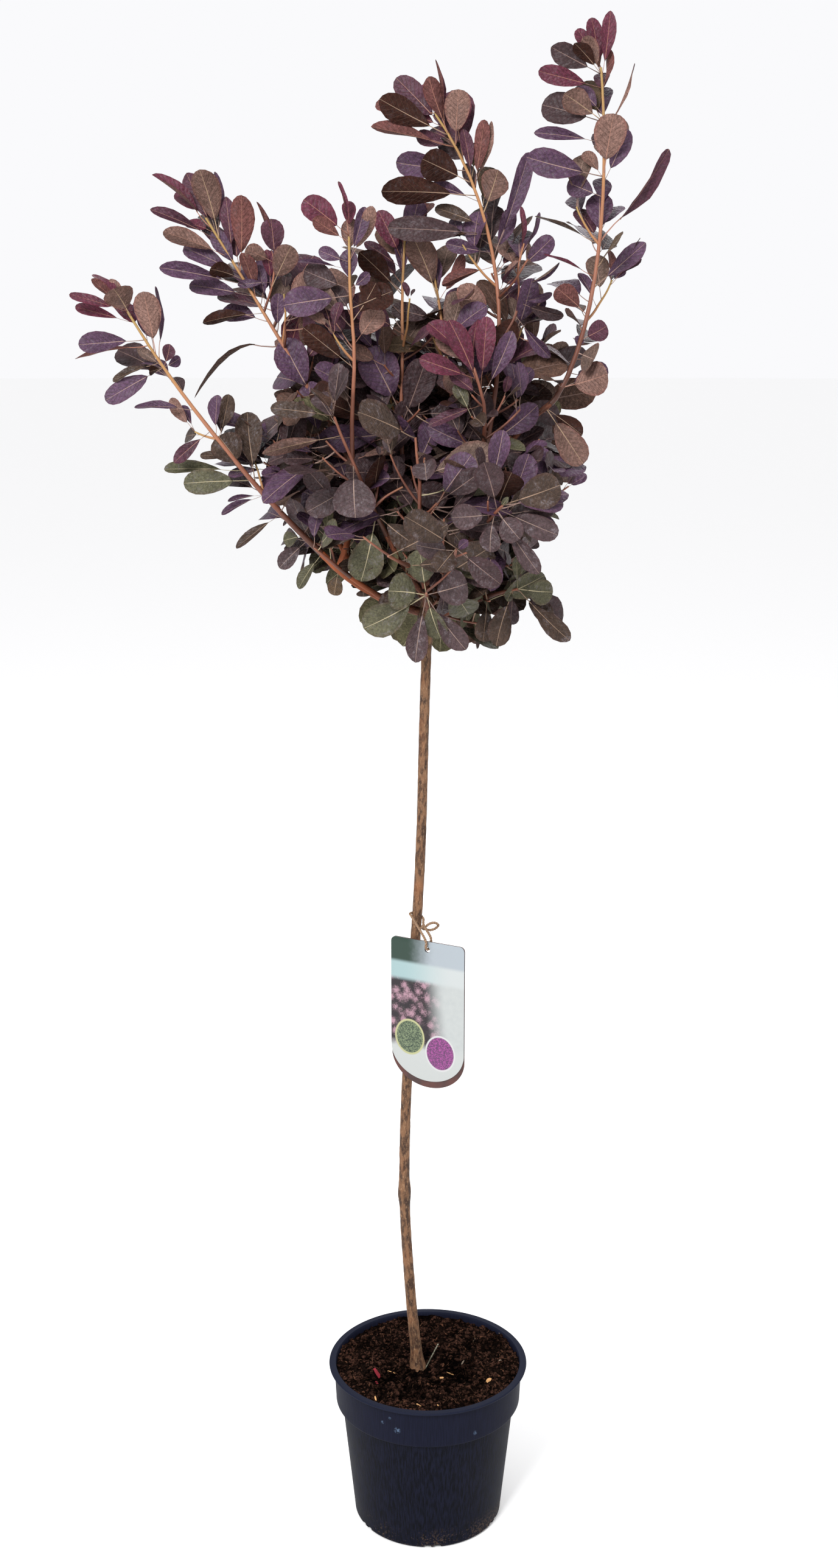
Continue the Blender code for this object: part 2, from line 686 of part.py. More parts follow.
def pot_inside(gap):
    """The pot's inner surface from the axis to the rim, moved inwards by a gap."""
    channel_roof = CHANNEL_HEIGHT + POT_FLOOR
    return [
        (0, POT_FLOOR + gap),
        (CHANNEL_INNER_RADIUS - POT_FLOOR - gap, POT_FLOOR + gap),
        (CHANNEL_INNER_RADIUS - POT_FLOOR - gap, channel_roof + gap),
        (BASE_RADIUS - POT_WALL - gap, channel_roof + gap),
        (BODY_TOP_RADIUS - POT_WALL - gap, BAND_FOOT + POT_WALL + gap),
        (BAND_FOOT_RADIUS - POT_WALL - gap, BAND_FOOT + POT_WALL + gap),
        (BAND_TOP_RADIUS - POT_WALL - gap, RIM_TOP),
    ]


def build_pot(parts, cutters):
    """The pot with its band, lip, drain holes and notches."""
    outside = [
        (RIM_RADIUS, RIM_TOP),
        (RIM_RADIUS, RIM_TOP - LIP_HEIGHT),
        (BAND_TOP_RADIUS, RIM_TOP - LIP_HEIGHT - 0.001),
        (BAND_FOOT_RADIUS, BAND_FOOT + 0.002),
        (BAND_FOOT_RADIUS - 0.002, BAND_FOOT),
        (BODY_TOP_RADIUS, BAND_FOOT),
        (BASE_RADIUS, BASE_CORNER),
        (BASE_RADIUS - BASE_CORNER * 0.3, BASE_CORNER * 0.3),
        (BASE_RADIUS - BASE_CORNER, 0),
        (CHANNEL_OUTER_RADIUS, 0),
        (CHANNEL_OUTER_RADIUS, CHANNEL_HEIGHT),
        (CHANNEL_INNER_RADIUS, CHANNEL_HEIGHT),
        (CHANNEL_INNER_RADIUS, 0),
        (0, 0),
    ]
    pot = turned("pot", pot_inside(0) + outside, parts, POT_SEGMENTS)
    tools = [drain_cutter(k, cutters) for k in range(DRAIN_COUNT)]
    tools += [notch_cutter(k, side, cutters) for k in range(DRAIN_COUNT) for side in (-1, 1)]
    for tool in tools:
        as_cutter(tool)
        cut = pot.modifiers.new("Cut", "BOOLEAN")
        cut.operation = "DIFFERENCE"
        cut.object = tool
    finish_round(pot, material("Black plastic", POT_BLACK, 0.5), 30)


def drain_cutter(index, cutters):
    """A cylinder through the channel's roof, between two pairs of notches."""
    middle = (CHANNEL_INNER_RADIUS + CHANNEL_OUTER_RADIUS) / 2
    heading = math.radians(NOTCH_HEADING + (index + 0.5) * 360 / DRAIN_COUNT)
    mesh = bpy.data.meshes.new("drain")
    work = bmesh.new()
    bmesh.ops.create_cone(
        work, cap_ends=True, segments=12, radius1=DRAIN_RADIUS, radius2=DRAIN_RADIUS,
        depth=4 * POT_FLOOR,
    )
    work.to_mesh(mesh)
    work.free()
    tool = add(f"drain_cutter_{index}", mesh, cutters)
    height = CHANNEL_HEIGHT + POT_FLOOR / 2
    tool.location = (middle * math.cos(heading), middle * math.sin(heading), height)
    return tool


def notch_cutter(index, side, cutters):
    """A box across the foot ring."""
    ring = BASE_RADIUS - 0.001
    heading = math.radians(NOTCH_HEADING + index * 360 / DRAIN_COUNT)
    heading += side * NOTCH_SPACING / 2 / BASE_RADIUS
    mesh = bpy.data.meshes.new("notch")
    work = bmesh.new()
    bmesh.ops.create_cube(work, size=1)
    bmesh.ops.scale(work, verts=work.verts, vec=NOTCH_SIZE)
    work.to_mesh(mesh)
    work.free()
    tool = add(f"notch_cutter_{index}_{side}", mesh, cutters)
    tool.location = (ring * math.cos(heading), ring * math.sin(heading), NOTCH_SIZE.z / 2 - 0.001)
    tool.rotation_euler.z = heading
    return tool


def build_soil(parts):
    """The soil that fills the pot to just under its rim."""
    inside = pot_inside(CLEARANCE)
    foot, top = inside[-2], inside[-1]
    share = (SOIL_TOP - foot[1]) / (top[1] - foot[1])
    edge = foot[0] + (top[0] - foot[0]) * share
    wall = [(edge, SOIL_TOP), *reversed(inside[:-1])]
    soil = turned("soil", [(0, SOIL_TOP), *wall], parts, POT_SEGMENTS)
    finish_round(soil, material("Soil", SOIL_BROWN, 0.95), 30)


def card_outline(curve, extra):
    """A tongue: square shoulders with small round corners and a bowl-shaped foot."""
    half, corner = LABEL_WIDTH / 2, LABEL_CORNER
    foot = -LABEL_HEIGHT - extra
    points = []
    for side, angles in ((1, (0, 30, 60, 90)), (-1, (90, 120, 150, 180))):
        for angle in map(math.radians, angles):
            x = side * (half - corner) + corner * math.cos(angle)
            points.append((x, corner * (math.sin(angle) - 1)))
    for step in range(13):
        angle = math.radians(180 + 15 * step)
        points.append((half * math.cos(angle), foot + LABEL_BOWL * (1 + math.sin(angle))))
    add_loop(curve, points)


def add_loop(curve, points):
    """A closed outline in a flat curve."""
    spline = curve.splines.new("POLY")
    spline.points.add(len(points) - 1)
    spline.use_cyclic_u = True
    for spot, (x, y) in zip(spline.points, points):
        spot.co = (x, y, 0, 1)


def label_frame(depth):
    """The label's own frame: X across, Y up and Z towards the front, depth behind its face."""
    turn = Matrix.Rotation(math.radians(LABEL_TURN), 4, "Z")
    stand = Matrix.Rotation(math.radians(90), 4, "X")
    return Matrix.Translation(LABEL_TOP) @ turn @ stand @ Matrix.Translation((0, 0, -depth))


def build_card(name, extra, depth, parts, finish):
    """One card of the label, with the hole for its twine."""
    curve = bpy.data.curves.new(name, "CURVE")
    curve.dimensions = "2D"
    curve.fill_mode = "BOTH"
    curve.extrude = LABEL_THICKNESS / 2
    card_outline(curve, extra)
    turns = [math.radians(30 * k) for k in range(12)]
    hole = [(HOLE_RADIUS * math.cos(a), HOLE_RADIUS * math.sin(a) - HOLE_DROP) for a in turns]
    add_loop(curve, hole)
    guide = add(name + "_guide", curve, parts)
    bpy.context.view_layer.update()
    graph = bpy.context.evaluated_depsgraph_get()
    mesh = bpy.data.meshes.new_from_object(guide.evaluated_get(graph))
    bpy.data.objects.remove(guide)
    bpy.data.curves.remove(curve)
    weld(mesh)
    card = add(name, mesh, parts, finish)
    card.matrix_world = label_frame(depth)
    return card


def build_label(parts):
    """Two cards, one behind the other, the back one a little longer."""
    build_card("label", 0, 0, parts, material("Printed card", CARD_GREEN, 0.4))
    behind = LABEL_THICKNESS + CLEARANCE
    build_card(
        "label_back", LABEL_BACK_DROP, behind, parts, material("Card back", CARD_BACK, 0.6)
    )


def build_twine(routes, parts):
    """A loop of twine round the trunk and through the hole of both cards."""
    trunk = place_at(routes["trunk"][0], TWINE_HEIGHT)
    wrap = trunk_radius(TWINE_HEIGHT) + TWINE_RADIUS + TWINE_SLACK
    frame = label_frame(0)
    front = LABEL_THICKNESS / 2 + TWINE_RADIUS + 0.0008
    back = -1.5 * LABEL_THICKNESS - CLEARANCE - TWINE_RADIUS - 0.0008
    knots = [
        trunk + Vector((-wrap * 0.75, -wrap * 0.9, 0.001)),
        trunk + Vector((-wrap, 0, 0.001)),
        trunk + Vector((0, wrap, 0.0005)),
        trunk + Vector((wrap, 0, 0)),
        trunk + Vector((wrap * 1.1, -wrap, -0.004)),
        frame @ Vector((0.0012, 0.003, back - 0.001)),
        frame @ Vector((0.0006, -HOLE_DROP + 0.003, back)),
        frame @ Vector((0, -HOLE_DROP, (front + back) / 2)),
        frame @ Vector((-0.0006, -HOLE_DROP + 0.003, front)),
        frame @ Vector((-0.0012, 0.003, front + 0.0005)),
    ]
    points = round_loop(knots, 3)
    twine = curve_tube(
        "label_twine", points, [TWINE_RADIUS] * len(points), TWINE_SIDES, parts, closed=True
    )
    finish_round(twine, material("Twine", TWINE_TAN, 0.9))


def place_at(points, height):
    """The place on a rising route at a height."""
    for a, b in zip(points, points[1:]):
        if a.z <= height <= b.z:
            return a.lerp(b, (height - a.z) / (b.z - a.z))
    return points[-1]


def round_loop(knots, steps):
    """A closed smooth curve through the knots."""
    count = len(knots)
    points = []
    for i in range(count):
        a, b, c, d = (knots[(i + k) % count] for k in (-1, 0, 1, 2))
        for k in range(steps):
            t = k / steps
            points.append(
                0.5 * ((2 * b) + (c - a) * t + (2 * a - 5 * b + 4 * c - d) * t**2
                       + (3 * b - a - 3 * c + d) * t**3)
            )
    return points


def main():
    clear_scene()
    parts, cutters = collection("Smoke bush"), collection("Cutters")
    build_pot(parts, cutters)
    build_soil(parts)
    routes = limb_routes()
    build_limbs(routes, parts, cutters)
    build_foliage(routes, parts)
    build_label(parts)
    build_twine(routes, parts)


if __name__ == "__main__":
    main()
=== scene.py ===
# %% [markdown]
# # A smoke bush in its nursery pot
#
# This file dresses the solid model of a young smoke bush: a slender grafted stem, an open crown of
# purple leaves, a black pot of soil and a hanging label. The solids give every size and place, and
# here each gets its real surface. Everything is in metres, with +Z up and the front towards -Y.

# %% Load the solid model
import json
import math
import random
from collections import namedtuple
from itertools import product

import bmesh
import bpy
from mathutils import Matrix, Vector, noise
from mathutils.kdtree import KDTree

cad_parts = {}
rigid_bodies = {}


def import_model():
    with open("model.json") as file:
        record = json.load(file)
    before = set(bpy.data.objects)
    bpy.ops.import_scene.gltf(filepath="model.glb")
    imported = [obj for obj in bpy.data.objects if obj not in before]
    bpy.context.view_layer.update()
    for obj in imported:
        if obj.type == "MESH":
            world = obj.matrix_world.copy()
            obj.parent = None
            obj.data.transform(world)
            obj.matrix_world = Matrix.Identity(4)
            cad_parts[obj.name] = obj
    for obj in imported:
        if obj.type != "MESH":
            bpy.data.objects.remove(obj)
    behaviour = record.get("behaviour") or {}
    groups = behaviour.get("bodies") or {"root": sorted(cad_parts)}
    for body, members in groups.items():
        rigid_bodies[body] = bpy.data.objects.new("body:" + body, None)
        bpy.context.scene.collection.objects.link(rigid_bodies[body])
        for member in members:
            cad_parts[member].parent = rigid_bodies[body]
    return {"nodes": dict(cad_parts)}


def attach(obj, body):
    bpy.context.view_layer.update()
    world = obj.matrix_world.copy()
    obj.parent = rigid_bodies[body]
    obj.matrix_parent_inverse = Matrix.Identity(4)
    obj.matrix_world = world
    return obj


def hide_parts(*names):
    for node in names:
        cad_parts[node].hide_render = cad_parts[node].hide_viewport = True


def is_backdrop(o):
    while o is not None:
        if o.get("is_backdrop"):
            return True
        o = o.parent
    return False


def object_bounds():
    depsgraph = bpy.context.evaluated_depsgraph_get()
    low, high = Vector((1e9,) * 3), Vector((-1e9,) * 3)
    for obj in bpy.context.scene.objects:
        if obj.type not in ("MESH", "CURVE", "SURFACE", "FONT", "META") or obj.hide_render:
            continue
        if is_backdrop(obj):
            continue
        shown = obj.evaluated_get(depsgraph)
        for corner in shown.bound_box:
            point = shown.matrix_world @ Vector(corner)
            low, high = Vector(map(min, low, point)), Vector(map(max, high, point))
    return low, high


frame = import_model()
CAD_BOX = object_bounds()
LIMB_NODES = sorted(name for name in frame["nodes"] if name.startswith("bough_"))
FOLIAGE_NODES = sorted(name for name in frame["nodes"] if name.startswith("foliage_"))
print(len(LIMB_NODES), "boughs and", len(FOLIAGE_NODES), "masses of foliage in a box of",
      [round(high - low, 3) for low, high in zip(*CAD_BOX)], "m")

# %% [markdown]
# ## Objects and meshes
#
# Blender keeps a shape apart from the object that shows it. A BMesh builds a mesh face by face and
# is then turned into one. Tubes, leaves and turned shapes are all rings of corners, joined by faces.


# %% Helpers for objects and meshes
def show(name, data):
    """Puts a mesh, lamp, curve or camera in the scene as a new object."""
    thing = bpy.data.objects.new(name, data)
    bpy.context.scene.collection.objects.link(thing)
    return thing


def as_mesh(work, name):
    """The mesh of a BMesh that is complete."""
    mesh = bpy.data.meshes.new(name)
    work.to_mesh(mesh)
    work.free()
    return mesh


def evaluated(thing):
    """A plain mesh of an object as its modifiers leave it."""
    bpy.context.view_layer.update()
    graph = bpy.context.evaluated_depsgraph_get()
    return bpy.data.meshes.new_from_object(thing.evaluated_get(graph))


def add_skin(work, rings):
    """Faces that join rings of corners, with a cap on each end that isn't a single point."""
    faces = []
    for a, b in zip(rings, rings[1:]):
        for k in range(max(len(a), len(b))):
            corners = a[k % len(a)], a[(k + 1) % len(a)], b[(k + 1) % len(b)], b[k % len(b)]
            faces.append(work.faces.new(list(dict.fromkeys(corners))))
    faces += [work.faces.new(ring) for ring in (rings[0], rings[-1]) if len(ring) > 2]
    bmesh.ops.recalc_face_normals(work, faces=work.faces)
    return faces


print("helpers ready")

# %% [markdown]
# ## The camera
#
# The picture is tall, so the lens is set from its height. The camera stands 1.75 m in front of the
# pot. Its rotation about X is 90 degrees for a level view, less its tilt.

# %% Set up the camera
PICTURE_SIZE = (1377, 2576)
FOCAL_LENGTH_PIXELS = 3000
SENSOR_HEIGHT = 36
CAMERA_PLACE = Vector((-0.009414, -1.75394, 1.21824))
CAMERA_TILT = 13.3006

camera = show("camera", bpy.data.cameras.new("camera"))
camera.data.sensor_fit = "VERTICAL"
camera.data.sensor_height = SENSOR_HEIGHT
camera.data.lens = FOCAL_LENGTH_PIXELS * SENSOR_HEIGHT / PICTURE_SIZE[1]
camera.location = CAMERA_PLACE
camera.rotation_euler = (math.radians(90 - CAMERA_TILT), 0, 0)
bpy.context.scene.camera = camera
print(f"lens {camera.data.lens:.2f} mm, {CAMERA_TILT} degrees down")

# %% [markdown]
# ## Nodes written as Python
#
# Materials and geometry trees are both made of nodes. `Tree.node` adds one: first the values or
# links of its sockets, then its settings by name. A `Wire` is what comes out of a node, and sums on
# wires add Math nodes, so that `1 - mask * 0.5` reads as on paper. Colours are given as on a
# screen, from 0 to 255, and are turned into the light that a shader needs.


# %% Wires and trees
def linear(colour, gain=1.0):
    """A screen colour as linear light, with an alpha of 1."""
    scaled = [channel / 255 for channel in colour]
    return (*[gain * (c / 12.92 if c <= 0.04045 else ((c + 0.055) / 1.055) ** 2.4) for c in scaled], 1)


class Wire:
    """What a node puts out. Sums on it add Math nodes to its tree."""

    def __init__(self, tree, socket):
        self.tree = tree
        self.socket = socket

    def maths(self, operation, *terms):
        return self.tree.node("ShaderNodeMath", dict(enumerate(terms)), operation=operation)

    def __add__(self, other):
        return self.maths("ADD", self, other)

    def __sub__(self, other):
        return self.maths("SUBTRACT", self, other)

    def __rsub__(self, other):
        return self.maths("SUBTRACT", other, self)

    def __mul__(self, other):
        return self.maths("MULTIPLY", self, other)

    def __truediv__(self, other):
        return self.maths("DIVIDE", self, other)

    def __abs__(self):
        return self.maths("ABSOLUTE", self)

    __radd__ = __add__
    __rmul__ = __mul__


class Tree:
    """Adds nodes to a node tree and links them."""

    def __init__(self, tree):
        self.tree = tree

    def node(self, kind, inputs=None, output=0, **settings):
        made = self.tree.nodes.new(kind)
        for name, value in settings.items():
            if name == "stops":
                set_stops(made.color_ramp, value)
            else:
                setattr(made, name, value)
        for name, value in (inputs or {}).items():
            socket = made.inputs[name]
            if isinstance(value, Wire):
                self.tree.links.new(value.socket, socket)
            elif socket.type == "RGBA" and len(value) == 3:
                socket.default_value = linear(value)
            else:
                socket.default_value = value
        return Wire(self, made.outputs[output]) if made.outputs else None

    def part(self, vector, axis):
        """The X, Y or Z of a vector."""
        return self.node("ShaderNodeSeparateXYZ", {"Vector": vector}, axis)


def set_stops(ramp, stops):
    """Gives a colour ramp its (place, colour) stops."""
    while len(ramp.elements) < len(stops):
        ramp.elements.new(1)
    for element, (place, colour) in zip(ramp.elements, stops):
        element.position = place
        element.color = linear(colour)


print("a mid grey of 128 is", round(linear((128, 128, 128))[0], 3), "in linear light")

# %% [markdown]
# ## Paint
#
# Every finish here is a Principled shader. `Paint` adds what the finishes share: noise and cells on
# the object's own coordinates, a soft threshold, layers of colour under masks, and a bump.


# %% A class for materials
class Paint(Tree):
    """One material and the maths of its finish."""

    def __init__(self, name):
        self.material = bpy.data.materials.new(name)
        self.material.use_nodes = True
        super().__init__(self.material.node_tree)
        self.tree.nodes.clear()

    def place(self):
        return self.node("ShaderNodeTexCoord", output="Object")

    def height(self):
        return self.part(self.place(), "Z")

    def attribute(self, name, output="Fac"):
        return self.node("ShaderNodeAttribute", output=output, attribute_name=name)

    def noise(self, scale, detail=3.0, roughness=0.5, vector=None):
        inputs = {"Scale": scale, "Detail": detail, "Roughness": roughness}
        return self.node("ShaderNodeTexNoise", {**inputs, "Vector": vector or self.place()})

    def cells(self, scale, smoothness, vector=None):
        """The distance from the middles of rounded cells."""
        inputs = {"Vector": vector or self.place(), "Scale": scale, "Smoothness": smoothness}
        return self.node("ShaderNodeTexVoronoi", inputs, feature="SMOOTH_F1")

    def stretched(self, scale):
        """Coordinates with a scale of their own on each axis."""
        return self.node("ShaderNodeMapping", {"Vector": self.place(), "Scale": scale})

    def step(self, value, low, high):
        """0 under low, 1 over high and smooth between."""
        inputs = {"Value": value, "From Min": low, "From Max": high}
        return self.node("ShaderNodeMapRange", inputs, interpolation_type="SMOOTHSTEP")

    def mix(self, factor, first, second):
        return self.node("ShaderNodeMix", {0: factor, 6: first, 7: second}, 2, data_type="RGBA")

    def over(self, ground, *layers):
        """Lays (mask, colour) layers over a ground."""
        for mask, colour in layers:
            ground = self.mix(mask, ground, colour)
        return ground

    def bump(self, height, distance, strength=1.0):
        inputs = {"Height": height, "Distance": distance, "Strength": strength}
        return self.node("ShaderNodeBump", inputs)

    def surface(self, colour, roughness, **others):
        """Ends the material in a Principled shader, with its other sockets by name."""
        inputs = {name.replace("_", " ").title(): value for name, value in others.items()}
        if "Specular" in inputs:
            inputs["Specular IOR Level"] = inputs.pop("Specular")
        inputs |= {"Base Color": colour, "Roughness": roughness}
        shader = self.node("ShaderNodeBsdfPrincipled", inputs)
        self.node("ShaderNodeOutputMaterial", {"Surface": shader})
        return self.material


print("Paint is ready to make materials")

# %% [markdown]
# ## Floor and light
#
# The plant stands on a wide pale floor under a pale sky, one large lamp high on the left and in
# front, a weaker one on the right and one behind. Large lamps give soft shadows, which lets the
# heart of the crown go dark while its edge stays clear.

# %% Floor, sky and lamps
FLOOR_RADIUS = 90
FLOOR_COLOUR = (252, 252, 251)
SKY_COLOUR = (250, 250, 252)
LAMPS = (
    ("key lamp", Vector((-1.3, -2.6, 3.0)), 1.2, 150),
    ("side lamp", Vector((2.4, -1.5, 1.9)), 1.6, 16),
    ("back lamp", Vector((0.6, 2.6, 2.8)), 1.8, 30),
)
LAMP_TARGET = Vector((0, 0, 0.95))


def make_floor():
    work = bmesh.new()
    bmesh.ops.create_circle(work, cap_ends=True, segments=96, radius=FLOOR_RADIUS)
    floor = show("floor", as_mesh(work, "floor"))
    floor.data.materials.append(Paint("pale floor").surface(FLOOR_COLOUR, 0.9))
    floor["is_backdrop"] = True


def make_lamp(name, place, size, watts):
    light = bpy.data.lights.new(name, "AREA")
    light.size = size
    light.energy = watts
    lamp = show(name, light)
    lamp.location = place
    lamp.rotation_euler = (LAMP_TARGET - place).to_track_quat("-Z", "Y").to_euler()


make_floor()
world = bpy.data.worlds.new("pale sky")
world.use_nodes = True
world.node_tree.nodes["Background"].inputs["Color"].default_value = linear(SKY_COLOUR)
bpy.context.scene.world = world
for lamp_row in LAMPS:
    make_lamp(*lamp_row)
bpy.context.scene.view_settings.view_transform = "Standard"
print(len(LAMPS), "lamps over a floor", 2 * FLOOR_RADIUS, "m wide")

# %% [markdown]
# ## How the plant grows
#
# The solid plant was grown by a rule, and this file grows it again by the same rule, so that every
# fine leaf lies over its solid one. A heading is a compass angle seen from above: 0 is to the
# right, 90 away from the front. A climb is the angle above the level. A limb turns evenly from the
# direction at its foot to the one at its tip, and wanders a little.

# %% Directions and routes
ROUTE_STEP = 0.024
SWAY_SHARE = 0.010
SWAY_WAVES = 1.5


def direction(aim):
    """Unit vector of a (heading, climb) pair in degrees."""
    heading, climb = (math.radians(angle) for angle in aim)
    level = math.cos(climb)
    return Vector((level * math.cos(heading), level * math.sin(heading), math.sin(climb)))


def along(points, share):
    """Place and direction at a share of the length of a route."""
    lengths = [(b - a).length for a, b in zip(points, points[1:])]
    left = share * sum(lengths)
    for a, b, length in zip(points, points[1:], lengths):
        if left <= length:
            break
        left -= length
    way = (b - a).normalized()
    return a + way * min(left, length), way


def route_length(points):
    return sum((b - a).length for a, b in zip(points, points[1:]))


def bend(start, foot, tip, length, ease=1.0):
    """Points along a limb that turns from one direction to another and wanders a little."""
    steps = max(4, round(length / ROUTE_STEP))
    side = foot.cross(tip + Vector((0.3, 0.2, 1))).normalized()
    points = [start.copy()]
    for step in range(steps):
        turn = ((step + 0.5) / steps) ** ease
        points.append(points[-1] + foot.slerp(tip, turn) * (length / steps))
    for step, point in enumerate(points):
        share = step / steps
        wander = math.sin(math.pi * share) * math.sin(2 * math.pi * SWAY_WAVES * share)
        point += side * (wander * SWAY_SHARE * length)
    return points


print("a climb of 30 degrees to the right is", [round(v, 2) for v in direction((0, 30))])

# %% [markdown]
# ## The trunk's route
#
# A smooth curve joins the trunk's sideways places at a few heights. Its radius shrinks evenly from
# foot to fork. Added to it are the flare where the roots start, one old knuckle and the swollen
# head where the crown was grafted on.

# %% Trunk
TRUNK_SWAY = ((0.1603, -0.0104), (0.26, -0.0190), (0.37, -0.0246), (0.52, -0.0205),
              (0.72, -0.0085), (0.88, -0.0040), (0.985, -0.0005))
TRUNK_FOOT_RADIUS = 0.0056
TRUNK_TOP_RADIUS = 0.0047
TRUNK_STEP = 0.045
ROOT_FLARE = 0.0045
ROOT_FLARE_HEIGHT = 0.014
FLARE_STATIONS = (0.003, 0.008, 0.016)
HEAD_HEIGHT = 0.968
HEAD_REACH = 0.016
SWELLINGS = ((0.366, 0.0014, 0.012), (HEAD_HEIGHT, 0.0055, HEAD_REACH))


def smooth_through(stations, step):
    """(height, side) pairs of a smooth curve through the given stations."""
    result = []
    for i in range(len(stations) - 1):
        before = stations[max(i - 1, 0)]
        a, b = stations[i], stations[i + 1]
        after = stations[min(i + 2, len(stations) - 1)]
        slope_a = (b[1] - before[1]) / (b[0] - before[0])
        slope_b = (after[1] - a[1]) / (after[0] - a[0])
        span = b[0] - a[0]
        count = max(1, round(span / step))
        for k in range(count):
            t = k / count
            side = (
                (2 * t**3 - 3 * t**2 + 1) * a[1] + (t**3 - 2 * t**2 + t) * span * slope_a
                + (3 * t**2 - 2 * t**3) * b[1] + (t**3 - t**2) * span * slope_b
            )
            result.append((a[0] + t * span, side))
    return result + [stations[-1]]


def trunk_radius(height):
    """Taper from foot to fork, with the root flare, the knuckle and the grafted head."""
    foot, top = TRUNK_SWAY[0][0], TRUNK_SWAY[-1][0]
    share = (height - foot) / (top - foot)
    radius = TRUNK_FOOT_RADIUS + (TRUNK_TOP_RADIUS - TRUNK_FOOT_RADIUS) * share
    radius += ROOT_FLARE * math.exp(-(height - foot) / ROOT_FLARE_HEIGHT)
    for middle, swell, reach in SWELLINGS:
        radius += swell * math.exp(-(((height - middle) / reach) ** 2))
    return radius


def trunk_route():
    """Points and radii of the trunk, as in the solid model."""
    stations = smooth_through(TRUNK_SWAY, TRUNK_STEP)
    foot, side = stations[0]
    flare = [(foot + rise, side) for rise in FLARE_STATIONS]
    head = [HEAD_HEIGHT + step * HEAD_REACH / 2 for step in range(-3, 2)]
    rest = [station for station in stations[1:] if station[0] < head[0] - 0.004]
    places = [stations[0], *flare, *rest, *((z, stations[-1][1]) for z in head), stations[-1]]
    return [Vector((side, 0, z)) for z, side in places], [trunk_radius(z) for z, side in places]


print("the trunk is", round(2000 * trunk_radius(0.55), 1), "mm thick half way up")

# %% [markdown]
# ## The boughs
#
# Each row is one bough: the limb that it leaves and how far along, its length, its direction at
# foot and tip, and its radius there. Long shoots go up and out, and short ones face the front.

# %% Boughs
Bough = namedtuple("Bough", "name parent at length foot tip foot_radius tip_radius")
BOUGHS = [Bough(*row) for row in (
    ("left", "trunk", 0.985, 0.120, (186, 12), (184, 48), 0.0042, 0.0032),
    ("front", "trunk", 0.984, 0.070, (262, 44), (262, 64), 0.0038, 0.0028),
    ("centre", "trunk", 0.988, 0.150, (12, 58), (14, 80), 0.0042, 0.0028),
    ("upper_left", "trunk", 0.990, 0.130, (150, 60), (168, 60), 0.0038, 0.0028),
    ("back", "trunk", 0.980, 0.095, (88, 42), (86, 62), 0.0038, 0.0028),
    ("right_low", "trunk", 0.977, 0.110, (342, 44), (350, 56), 0.0034, 0.0026),
    ("low_front", "trunk", 0.976, 0.062, (268, 36), (268, 24), 0.0028, 0.0024),
    ("low_right", "trunk", 0.972, 0.072, (330, 34), (334, 18), 0.0028, 0.0024),
    ("low_back", "trunk", 0.970, 0.060, (80, 26), (84, 14), 0.0028, 0.0024),
    ("low_left", "left", 0.35, 0.050, (222, 26), (212, 36), 0.0026, 0.0024),
    ("left_upright", "left", 0.82, 0.085, (330, 62), (220, 86), 0.0028, 0.0025),
    ("left_mid", "left", 0.62, 0.070, (150, 68), (170, 54), 0.0026, 0.0024),
    ("left_back", "left", 0.22, 0.090, (120, 40), (130, 54), 0.0028, 0.0025),
    ("centre_left", "upper_left", 0.40, 0.075, (90, 78), (110, 86), 0.0027, 0.0025),
    ("front_left", "front", 0.35, 0.075, (214, 48), (208, 62), 0.0027, 0.0025),
    ("front_mid", "front", 0.76, 0.045, (250, 24), (246, 14), 0.0026, 0.0024),
    ("front_core", "front", 0.92, 0.062, (298, 8), (284, 12), 0.0026, 0.0024),
    ("front_low", "front", 0.60, 0.080, (318, 34), (306, 40), 0.0027, 0.0025),
    ("centre_thin", "centre", 0.50, 0.070, (100, 66), (110, 82), 0.0026, 0.0024),
    ("right", "centre", 0.92, 0.095, (2, 54), (0, 38), 0.0027, 0.0026),
    ("front_right", "centre", 0.74, 0.060, (286, 44), (280, 72), 0.0026, 0.0024),
    ("back_right", "back", 0.40, 0.095, (34, 42), (38, 58), 0.0028, 0.0025),
    ("back_left", "back", 0.55, 0.080, (140, 44), (134, 60), 0.0028, 0.0025),
)]


def tapered(foot, tip, count):
    """Radii that shrink evenly from foot to tip."""
    return [foot + (tip - foot) * k / (count - 1) for k in range(count)]


LIMBS = {"trunk": trunk_route()}
for bough in BOUGHS:
    bough_foot = along(LIMBS[bough.parent][0], bough.at)[0]
    bough_points = bend(bough_foot, direction(bough.foot), direction(bough.tip), bough.length)
    bough_radii = tapered(bough.foot_radius, bough.tip_radius, len(bough_points))
    LIMBS[bough.name] = bough_points, bough_radii
print(len(LIMBS), "limbs,", round(sum(route_length(p) for p, r in LIMBS.values()), 2), "m in all")

# %% [markdown]
# ## The masses of foliage
#
# Each mass is one leafy shoot that grows on from the tip of the bough of its name. A row gives the
# length of its stem, where the tip points, how soon it turns that way, its leaves with their
# length, and its short side twigs.

